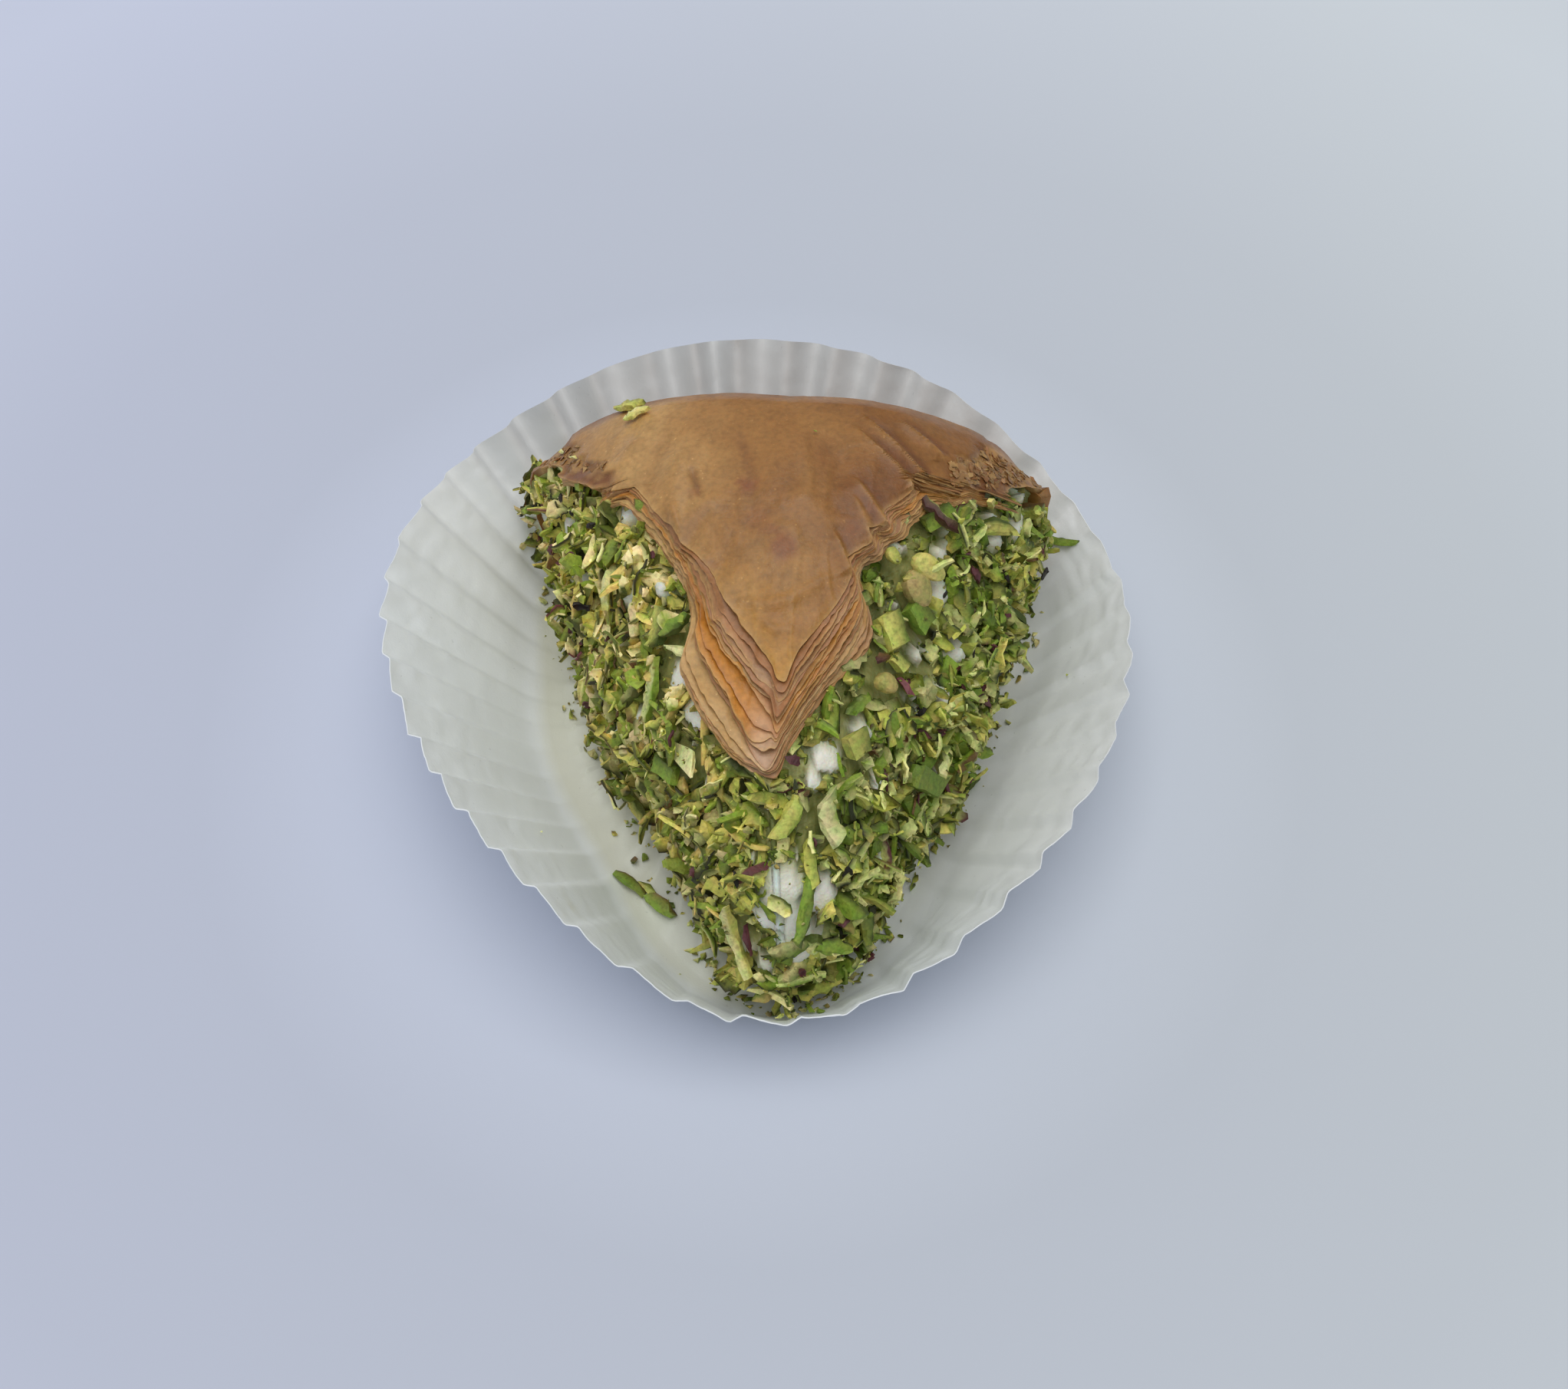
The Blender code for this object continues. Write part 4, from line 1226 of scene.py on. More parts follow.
# Rows of the cream's top, on the way to the middle, and how many of them show
TOP_SHARES = (0.09, 0.14, 0.2, 0.3, 0.5, 0.75)
COATED_TOP_ROWS = 4
CREAM_UNDER_SHEETS = 1.0 * MM
CREAM_UNDER_WINGS = 1.7 * MM
CREAM_INSETS = (2.3 * MM, 1.5 * MM)  # room for the pistachios on the left and on the right
CREAM_FLOOR = 1.3 * MM
CREAM_LUMPS = 0.45 * MM
COATED_FOLD = 3.0 * MM  # of the fold at each end is coated
COATING_OVER_FOLD = 0.35 * MM
BARE_RISE = 1.7 * MM  # by how much bare cream bulges, away from the cream's heart
HEART_HEIGHT = 12 * MM
WHITE = np.array((0.98, 0.97, 0.90))
# Cream under the coat: pistachio dust, darkened as painted shade between the pieces
DUST_AND_SHADE = np.array((0.46, 0.46, 0.17))
DARK_DUST_AND_SHADE = np.array((0.16, 0.18, 0.04))


# Bare patches of cream: pixel and radius in millimetres
BARE = (
    (1044, 1222, 3.2),
    (1022, 1152, 2.6),
    (1067, 1161, 2.2),
    (1006, 1190, 2.0),
    (1035, 1190, 2.2),
    (716, 678, 3.0),
    (750, 692, 2.2),
    (1318, 690, 2.2),
    (1290, 700, 1.4),
    (826, 670, 1.9),
    (830, 768, 2.0),
    (1240, 850, 1.8),
    (912, 925, 2.2),
    (893, 880, 1.8),
    (1075, 985, 1.8),
    (812, 950, 1.4),
    (840, 930, 1.2),
    (795, 905, 1.1),
    (1222, 905, 1.5),
    (1150, 1110, 1.3),
    (1060, 1010, 1.2),
    (1120, 950, 1.4),
    (1216, 774, 1.9),
    (870, 770, 1.2),
    (1000, 1250, 1.5),
)


def cream_top(plan):
    """Height of the cream under the sheets, lower under the wings."""
    near_wing = smooth_step((abs(plan[:, 0]) - 16 * MM) / (6 * MM))
    return under_sheet(plan, between(CREAM_UNDER_SHEETS, CREAM_UNDER_WINGS, near_wing))


def draw_in(row):
    """Draws a row of the cream in from the fold, all along it but at its ends."""
    away = IN_FOLD * smooth_step(FROM_END / COATED_FOLD - 1)
    row[:, :2] = MIDDLE + (row[:, :2] - MIDDLE) * between(1.0, CREAM_REACH, away)[:, None]


def cream_walls():
    """Rows of the cream's sides, from the bottom up."""
    top = cream_top(EDGE)
    room = between(*CREAM_INSETS, RIGHTNESS)
    rows = []
    for inwards, up in smooth_through(WALL_PROFILE, WALL_STEPS):
        up = float(np.clip(up, 0, 1))
        wall = wall_row(inwards, up, CREAM_FLOOR, top)
        uneven = COATED_FOLD * 0.6 * rough(raised(BASE, 25 * MM * up), 3 * MM, 151)
        share = smooth_step((FROM_END - COATED_FOLD + uneven) / (0.6 * COATED_FOLD))
        inset = between(-COATING_OVER_FOLD, FILLING_INSET, share)
        row = mix(wall, fold_row(up, CREAM_FLOOR, top, inset), IN_FOLD)
        lumpy = CREAM_LUMPS * crumbled(row, 5 * MM, 121, 4)
        row[:, :2] += OUTWARD * ((lumpy - room) * (1 - IN_FOLD))[:, None]
        draw_in(row)
        rows.append(row)
    return rows


def closed_faces(rows, low, high):
    """Faces of rows round the pastry, closed by a point at the bottom and one at the top."""
    last = (rows - 1) * COLUMNS
    faces = grid_faces(rows, COLUMNS, True).tolist()
    for here in range(COLUMNS):
        after = (here + 1) % COLUMNS
        faces.append((low, after, here))
        faces.append((last + here, last + after, high))
    return faces


def bareness(places, on_wall, tree):
    """How bare the cream is: in its patches, and here and there on its walls."""
    bare = 0.8 * on_wall * smooth_step((crumbled(places, 3.2 * MM, 137, 3) - 0.60) / 0.15)
    uneven = 0.7 * crumbled(places, 1.6 * MM, 131)
    for x, y, radius in BARE:
        spot = on_tree(tree, (x, y))
        if spot is not None:
            away = np.linalg.norm(places - np.array(spot), axis=1) / MM + uneven
            bare = np.maximum(bare, smooth_step(1.55 - away / radius))
    return bare


def cream_core():
    """The cream, and the points of its coated part, by row and column."""
    rows = cream_walls()
    walls = len(rows)
    for share in TOP_SHARES:
        plan = EDGE + (MIDDLE - EDGE) * share
        rows.append(raised(plan, cream_top(plan)))
        draw_in(rows[-1])
    height = cream_top(MIDDLE[None])[0]
    places = placed(np.vstack([*rows, [(*MIDDLE, CREAM_FLOOR)], [(*MIDDLE, height)]]))
    faces = closed_faces(len(rows), len(places) - 2, len(places) - 1)
    on_wall = np.arange(len(places)) < walls * COLUMNS
    bare = bareness(places, on_wall, BVHTree.FromPolygons(places.tolist(), faces))
    out = places - placed(np.array([(*MIDDLE, HEART_HEIGHT)]))
    places += out / np.linalg.norm(out, axis=1)[:, None] * (BARE_RISE * bare)[:, None]
    # pistachio dust and painted shade on the coated cream, white where it is bare
    dust_and_shade_share = np.clip(0.5 + 0.8 * crumbled(places, 1.2 * MM, 141), 0, 1)
    tint = mix(mix(DARK_DUST_AND_SHADE, DUST_AND_SHADE, dust_and_shade_share), WHITE, bare)
    piece = new_object("cream", places, faces, CREAM, tint)
    smoothed(piece, 180)
    coated = walls + COATED_TOP_ROWS
    return piece, places[: coated * COLUMNS].reshape(coated, COLUMNS, 3)


# ---------------------------------------------------------------- chopped pistachios

CUT = np.array((0.68, 0.66, 0.17))
PALE_CUT = np.array((0.94, 0.90, 0.46))
YELLOW_CUT = np.array((0.80, 0.68, 0.22))
GREEN_CUT = np.array((0.275, 0.390, 0.055))
GREEN_SKIN = np.array((0.080, 0.108, 0.016))
DARK_SKIN = np.array((0.030, 0.034, 0.009))
BROWN_SKIN = np.array((0.15, 0.085, 0.03))
PURPLE_SKIN = np.array((0.12, 0.035, 0.045))
BLACK_SKIN = np.array((0.025, 0.02, 0.02))

ROUGHNESS = 0.07 * MM  # of broken faces
LOWEST_POINT = 0.3 * MM  # of a piece
BOX_CORNERS = np.array(list(np.ndindex(2, 2, 2))) - 0.5


def tube(draw, length, width, thickness, swell, around, unevenness):
    """A closed body along X whose width follows the swell: points, faces and, for each
    point, its depth from 0 on one side to 1 on the other."""
    stations = len(swell)
    along = np.linspace(-1, 1, stations)
    angle = 2 * math.pi * np.arange(around) / around + draw.uniform(0, 0.4)
    across = np.outer(swell, np.sign(np.cos(angle)) * abs(np.cos(angle)) ** 0.8) * width / 2
    up = np.outer(swell**0.6, np.sign(np.sin(angle)) * abs(np.sin(angle)) ** 0.6) * thickness / 2
    across += draw.normal(0, 0.07 * unevenness * width, across.shape)
    up += draw.normal(0, 0.10 * unevenness * thickness, up.shape)
    oblique = across * abs(along[:, None]) ** 3 * draw.uniform(-0.9, 0.9) * unevenness
    bend = draw.normal(0, 0.07, 2)[:, None] * unevenness * length * along**2
    aside, above = bend[:, :, None]
    points = np.stack([along[:, None] * length / 2 + oblique, across + aside, up + above], -1)
    caps = points[[0, -1]].mean(axis=1)
    faces = [(a, d, c, b) for a, b, c, d in grid_faces(stations, around, True).tolist()]
    last, count = (stations - 1) * around, stations * around
    for here in range(around):
        after = (here + 1) % around
        faces.append((count, here, after))
        faces.append((last + here, count + 1, last + after))
    depth = np.concatenate([np.tile(0.5 + 0.5 * np.cos(angle), stations), (0.4, 0.4)])
    return np.vstack([points.reshape(-1, 3), caps]), faces, depth


def slice_of_kernel(draw, length, width, thickness, fine=True):
    """A blunt piece cut lengthwise, with skin along one edge."""
    stations, around = (8, 8) if fine else (5, 5)
    ends = draw.uniform(0.25, 0.75, 2)
    middle = draw.uniform(-0.3, 0.3)
    known, widths = (-1, -0.6, middle, 0.6, 1), (ends[0], 0.9, 1, 0.85, ends[1])
    swell = np.interp(np.linspace(-1, 1, stations), known, widths)
    return tube(draw, length, width, thickness, swell, around, 1.0)


def kernel(draw, length, width, thickness):
    """A smooth kernel, more pointed at one end."""
    along = np.linspace(-1, 1, 12)
    swell = np.maximum(1 - abs(along) ** 2.3, 0.02) ** 0.5 * (1 - 0.2 * along)
    points, faces, depth = tube(draw, length, width, thickness, swell, 14, 0.12)
    return points, faces, 0.15 + 0.45 * depth


def lump(draw, spread, size, cuts):
    """A broken lump with flat faces: the hull of the points, a little roughened."""
    shape = bmesh.new()
    for place in spread * np.array(size):
        shape.verts.new(place)
    hull = bmesh.ops.convex_hull(shape, input=shape.verts)
    inner = [part for part in hull["geom_interior"] if isinstance(part, bmesh.types.BMVert)]
    bmesh.ops.delete(shape, geom=inner, context="VERTS")
    if cuts:
        bmesh.ops.subdivide_edges(shape, edges=shape.edges[:], cuts=cuts, use_grid_fill=True)
    shape.verts.index_update()
    points = np.array([vertex.co for vertex in shape.verts])
    faces = [tuple(vertex.index for vertex in face.verts) for face in shape.faces]
    shape.free()
    points += draw.normal(0, ROUGHNESS if cuts else 0, points.shape)
    way = draw.normal(0, 1, 3) / np.array(size)
    depth = points @ way
    depth = (depth - depth.min()) / np.ptp(depth) + draw.normal(0, 0.05, len(depth))
    return points, faces, depth


def shard(draw, length, width, thickness):
    """An angular chip, longest along X."""
    spread = draw.uniform(-0.5, 0.5, (12, 3))
    return lump(draw, spread, (1.1 * length, 1.1 * width, 1.1 * thickness), int(length > 2.4 * MM))


def block(draw, length, width, thickness):
    """A piece with square cut ends."""
    spread = BOX_CORNERS * draw.uniform(0.72, 1.05, (8, 3))
    points, faces, depth = lump(draw, spread, (length, width, thickness), 2)
    return points, faces, 0.5 + points[:, 1] / width + draw.normal(0, 0.05, len(depth))


def chunk(draw, length, width, thickness, corners=8):
    """A rounder broken lump."""
    spread = draw.normal(0, 1, (corners, 3))
    spread /= 2 * np.linalg.norm(spread, axis=1)[:, None]
    spread *= draw.uniform(0.75, 1.0, (corners, 1))
    return lump(draw, spread, (length, width, thickness), int(length > 2 * MM))


def shaving(draw, length, width, thickness):
    """A thin curled plate with a ragged outline."""
    stations, across = size = (6, 4)
    along = np.linspace(-1, 1, stations)
    side = np.linspace(-1, 1, across)
    swell = (1 - abs(along) ** 2) ** 0.5 * 0.85 + 0.15
    x = along[:, None] * length / 2 + draw.normal(0, 0.05 * length, size)
    y = np.outer(swell, side) * width / 2 + draw.normal(0, 0.07 * width, size)
    curl = draw.uniform(-0.5, 0.9) * width * side**2 / 2
    bend = draw.uniform(-0.3, 0.3) * length * (along**2)[:, None] / 2
    z = curl + bend + draw.normal(0, 0.06 * width, size)
    upper = np.stack([x, y, z + thickness / 2], -1).reshape(-1, 3)
    lower = np.stack([x, y, z - thickness / 2], -1).reshape(-1, 3)
    grid = grid_faces(stations, across, False)
    count = stations * across
    ring = [*range(across), *range(2 * across - 1, count, across)]
    ring += [*range(count - 2, count - across - 1, -1), *range(count - 2 * across, 0, -across)]
    faces = [tuple(face[::-1]) for face in grid.tolist()] + [tuple(face + count) for face in grid]
    around = [(a, b, b + count, a + count) for a, b in zip(ring, ring[1:] + ring[:1])]
    return np.vstack([upper, lower]), faces + around, np.tile(0.5 + side / 2, 2 * stations)


def layered(inks, depth):
    """Colours from the pale inside of a kernel out to its skin."""
    cut, green, skin = inks
    inner = mix(cut, green, smooth_step((depth - 0.2) / 0.45))
    return mix(inner, skin, smooth_step((depth - 0.76) / 0.12))


def half_green(cut, skin):
    """Colours of a piece whose green lies between its cut and its skin."""
    return cut, between(cut, skin, 0.45), skin


class Heap:
    """Collects many small pieces of one kind, which become one mesh."""

    def __init__(self, name):
        self.name = name
        self.places, self.faces, self.tints, self.count = [], [], [], 0

    def add(self, shape, axes, place, inks):
        """Adds a shape along the axes at a place, in colours from its cut to its skin."""
        points, faces, depth = shape
        points = points @ axes.T + place
        points[:, 2] += max(0, LOWEST_POINT - points[:, 2].min())
        self.places.append(points)
        self.faces += [tuple(corner + self.count for corner in face) for face in faces]
        self.tints.append(layered(inks, depth))
        self.count += len(points)

    def finish(self):
        """Makes the mesh."""
        places, tints = np.vstack(self.places), np.vstack(self.tints)
        piece = new_object(self.name, places, self.faces, PISTACHIO, tints)
        smoothed(piece, 28)
        return piece


def axes_for(normal, along):
    """Columns X, Y and Z of a piece that lies on a surface and points along it."""
    z = Vector(normal).normalized()
    x = Vector(along)
    x = (x - z * x.dot(z)).normalized()
    return np.array([x, z.cross(x), z]).T


def tilted(draw, axes, degrees):
    """Axes tilted at random."""
    for axis in (0, 1):
        turn = Matrix.Rotation(math.radians(draw.normal(0, degrees)), 3, Vector(axes[:, axis]))
        axes = np.array(turn) @ axes
    return axes


UNCOATED_WING_ROWS = 4  # uppermost rows, which stay uncoated at the wings
WINGS_FROM = 17 * MM  # how far from the middle the wings start
COATED_BACK_COLUMNS = 4  # at each end of the fold
BARE_SHARE = 0.85  # of a bare patch's radius that is kept clear
BARE_MARGIN = 0.22  # share of its length by which a piece keeps away from it
KEPT_BARE = 0.95  # chance that it does
CLEARANCE = 0.3 * MM
LOWEST_PIECE = 1.0 * MM


class Wall:
    """The cream's open sides, where pistachios are scattered."""

    def __init__(self, grid, cream, phyllo, paper):
        columns = np.arange(-COATED_BACK_COLUMNS, 2 * SIDE_COLUMNS + COATED_BACK_COLUMNS + 1)
        part = grid[:, columns % COLUMNS]
        quads = (part[:-1, :-1], part[:-1, 1:], part[1:, 1:], part[1:, :-1])
        self.corners = [corner.reshape(-1, 3) for corner in quads]
        a, b, c, d = self.corners
        normals = np.cross(b - d, c - a)
        areas = np.linalg.norm(normals, axis=1)
        self.normals = normals / areas[:, None]
        row = np.repeat(np.arange(len(part) - 1), part.shape[1] - 1)
        aside = abs(a[:, 0] - PASTRY_PLACE[0])
        areas = areas * ((row < len(part) - 1 - UNCOATED_WING_ROWS) | (aside < WINGS_FROM))
        self.chances = areas / areas.sum()
        self.cream = tree_of_mesh(cream.data)
        self.phyllo = [tree_of_mesh(piece.data) for piece in phyllo]
        self.paper = tree_of_mesh(paper.data)
        self.bare = [(on_tree(self.cream, (x, y)), radius * MM * BARE_SHARE) for x, y, radius in BARE]

    def random_places(self, draw, count):
        """Random places on the wall, with the wall's normals."""
        chosen = draw.choice(len(self.chances), count, p=self.chances)
        u, v = draw.uniform(0, 1, (2, count, 1))
        a, b, c, d = (corner[chosen] for corner in self.corners)
        return (a * (1 - u) + b * u) * (1 - v) + (d * (1 - u) + c * u) * v, self.normals[chosen]

    def is_bare(self, place, length):
        """Whether a piece of some length would lie over a bare patch."""
        near = [size - (spot - Vector(place)).length for spot, size in self.bare if spot is not None]
        return max(near) > -BARE_MARGIN * length

    def is_clear(self, centre, ends):
        """Whether a piece keeps off the phyllo with its middle, and off the paper."""
        if any(tree.find_nearest(Vector(centre), CLEARANCE)[0] for tree in self.phyllo):
            return False
        if min(point[2] for point in (centre, *ends)) < LOWEST_PIECE:
            return False
        return not any(self.paper.find_nearest(Vector(point), CLEARANCE)[0] for point in ends)


def tree_of_heaps(cream, heaps):
    """A search tree of the cream with the pieces that lie on it so far."""
    places = [[tuple(vertex.co) for vertex in cream.data.vertices]]
    faces = [tuple(face.vertices) for face in cream.data.polygons]
    count = len(places[0])
    for heap in heaps:
        if heap.count:
            places.append(np.vstack(heap.places).tolist())
            faces += [tuple(corner + count for corner in part) for part in heap.faces]
            count += heap.count
    return BVHTree.FromPolygons([place for part in places for place in part], faces)


LANDING_REACH = 5 * MM


def landing(tree, place, normal):
    """Where something that comes down on the wall at a place would touch, and the normal
    there."""
    start = Vector(place + normal * LANDING_REACH)
    return tree.ray_cast(start, Vector(-normal), 2 * LANDING_REACH)[:2]


def pick(draw, choices):
    """One of several (weight, value) pairs' values."""
    weights = np.array([weight for weight, _ in choices], float)
    return choices[draw.choice(len(choices), p=weights / weights.sum())][1]


# Weight and colour
CUT_COLOURS = ((3.2, CUT), (4, PALE_CUT), (1.6, YELLOW_CUT), (2.6, GREEN_CUT))
SKIN_COLOURS = (
    (5, GREEN_SKIN),
    (1.5, GREEN_CUT),
    (3, DARK_SKIN),
    (0.8, BROWN_SKIN),
    (0.4, PURPLE_SKIN),
)
HUSK_COLOURS = ((4, PURPLE_SKIN), (2, BROWN_SKIN), (2, BLACK_SKIN), (1, DARK_SKIN))
# Painted light and shade on the pistachios: the left side lighter and yellower, the right darker
NUTS_LEFT_PAINTED_LIGHT = np.array((1.10, 0.95, 0.98))  # the left side is yellower
NUTS_RIGHT_PAINTED_SHADE = np.array((0.76, 0.77, 0.62))
# Painted shade: low pieces are darker, and high ones a little lighter
FOOT_SHADE = 0.70
TOP_SHADE = 1.06
SHADE_HEIGHT = 20 * MM


def colours(draw, place=(0, 0, 1), shade=1.0):
    """Colours of the cut, the green under the skin and the skin, for a piece at a place, with painted shade
    low down and on the right and painted light on the left.
    """
    height = float(smooth_step(place[2] / SHADE_HEIGHT))
    # painted shade on low pieces, a little lighter high up
    shade = shade * draw.uniform(0.6, 1.35) * between(FOOT_SHADE, TOP_SHADE, height)
    rightness = float(smooth_step(place[0] / (24 * MM) + 0.5))
    # painted light on the left, painted shade on the right
    shade = shade * between(NUTS_LEFT_PAINTED_LIGHT, NUTS_RIGHT_PAINTED_SHADE, rightness)
    cut = pick(draw, CUT_COLOURS)
    green = between(cut, GREEN_CUT, draw.uniform(0.3, 1))
    return cut * shade, green * shade, pick(draw, SKIN_COLOURS) * shade


# Kinds of scattered pieces, the lowest first: name, count, length, width and thickness in millimetres, tilt
# in degrees, how near two may lie as a share of their length, and shade, a factor which darkens the lowest
# layers as painted shade
SCATTERED = (
    ("crumbs", 1800, (0.7, 1.8), (0.6, 1.4), (0.4, 0.9), 60, 0.2, 0.6),
    ("shards", 520, (1.6, 3.2), (1.2, 2.2), (0.7, 1.3), 35, 0.24, 0.7),
    ("shards", 430, (3.2, 5.4), (2.2, 3.4), (1.4, 2.4), 28, 0.34, 1.0),
    ("slices", 380, (4.0, 7.4), (1.8, 2.8), (1.1, 1.9), 28, 0.33, 1.0),
    ("slivers", 360, (3.5, 7.5), (0.8, 1.5), (0.6, 1.1), 30, 0.26, 1.1),
    ("shavings", 320, (2.5, 5.4), (1.4, 2.8), (0.22, 0.35), 38, 0.26, 1.12),
    ("shards", 480, (1.2, 2.6), (1.0, 1.8), (0.6, 1.3), 45, 0.22, 1.0),
    ("slivers", 500, (1.6, 3.4), (0.35, 0.7), (0.3, 0.6), 45, 0.2, 1.1),
    ("crumbs", 1700, (0.35, 1.1), (0.3, 0.8), (0.3, 0.6), 60, 0.2, 1.05),
    ("skins", 120, (0.9, 2.6), (0.6, 1.5), (0.15, 0.25), 35, 0.2, 1.0),
)
KEEPS_APART_FROM = 1.8 * MM  # length of the shortest pieces that do
HERO_MARGIN = 0.28  # share of its length by which a piece keeps away from a hero
LEAN_SPREAD = 0.9  # how far pieces point away from straight down


def make_shape(kind, draw, length, width, thickness):
    """A shape of a kind, which is a rounder lump unless it has a maker of its own."""
    makers = {
        "kernels": kernel,
        "blocks": block,
        "slices": slice_of_kernel,
        "shavings": shaving,
        "shards": shard,
        "skins": shaving,
    }
    if kind == "slivers":
        return slice_of_kernel(draw, length, width, thickness, False)
    return makers.get(kind, chunk)(draw, length, width, thickness)


def near_hero(place, length, taken):
    """Whether a piece would lie over a hero, one of those that stand out in the photo."""
    for start, end, reach in taken:
        along = end - start
        share = np.clip((place - start) @ along / (along @ along), 0, 1)
        if np.linalg.norm(place - start - share * along) < reach + HERO_MARGIN * length:
            return True
    return False


def crowded(grid, size, place, gap):
    """Whether another piece lies within a gap; if not, the place is noted in the grid."""
    cell = np.floor(place / size).astype(int)
    for step in np.ndindex(3, 3, 3):
        for other in grid.get(tuple(cell + step - 1), ()):
            if np.linalg.norm(other - place) < gap:
                return True
    grid.setdefault(tuple(cell), []).append(place)
    return False


def scattered_heaps(wall, cream, heaps, taken):
    """Scatters the pieces over the wall, kind after kind, each on those before it."""
    draw = np.random.default_rng(23)
    for kind, count, lengths, widths, thicknesses, tilt, nearness, shade in SCATTERED:
        tree = tree_of_heaps(cream, heaps.values())
        grid, done = {}, 0
        for place, normal in zip(*wall.random_places(draw, count * 6)):
            if done == count:
                break
            size = [draw.uniform(*span) * MM for span in (lengths, widths, thicknesses)]
            length, _, thickness = size
            kept_off = wall.is_bare(place, length) and draw.random() < KEPT_BARE
            if kept_off or near_hero(place, length, taken):
                continue
            widest = lengths[1] * MM * nearness
            if length > KEEPS_APART_FROM and crowded(grid, widest, place, length * nearness):
                continue
            spot, facing = landing(tree, place, normal)
            if spot is None:
                continue
            lean = normal if kind != "crumbs" else np.array(facing)
            down = np.array((0, 0, -1.0)) + draw.normal(0, LEAN_SPREAD, 3)
            axes = tilted(draw, axes_for(lean, down), tilt)
            centre = np.array(spot) + normal * thickness * draw.uniform(-0.15, 0.35)
            ends = [centre + axes[:, 0] * length * share for share in (-0.5, 0.5)]
            if not wall.is_clear(centre, ends):
                continue
            inks = colours(draw, place, shade)
            if kind == "skins":
                inks = (pick(draw, HUSK_COLOURS),) * 3
            heaps[kind].add(make_shape(kind, draw, *size), axes, centre, inks)
            done += 1


HERO_LIFT = 1.5  # millimetres over the cream
# Others keep away from this share of its length, each way from its middle, and of its width
HERO_HALF = 0.3
HERO_WIDTH = 0.42

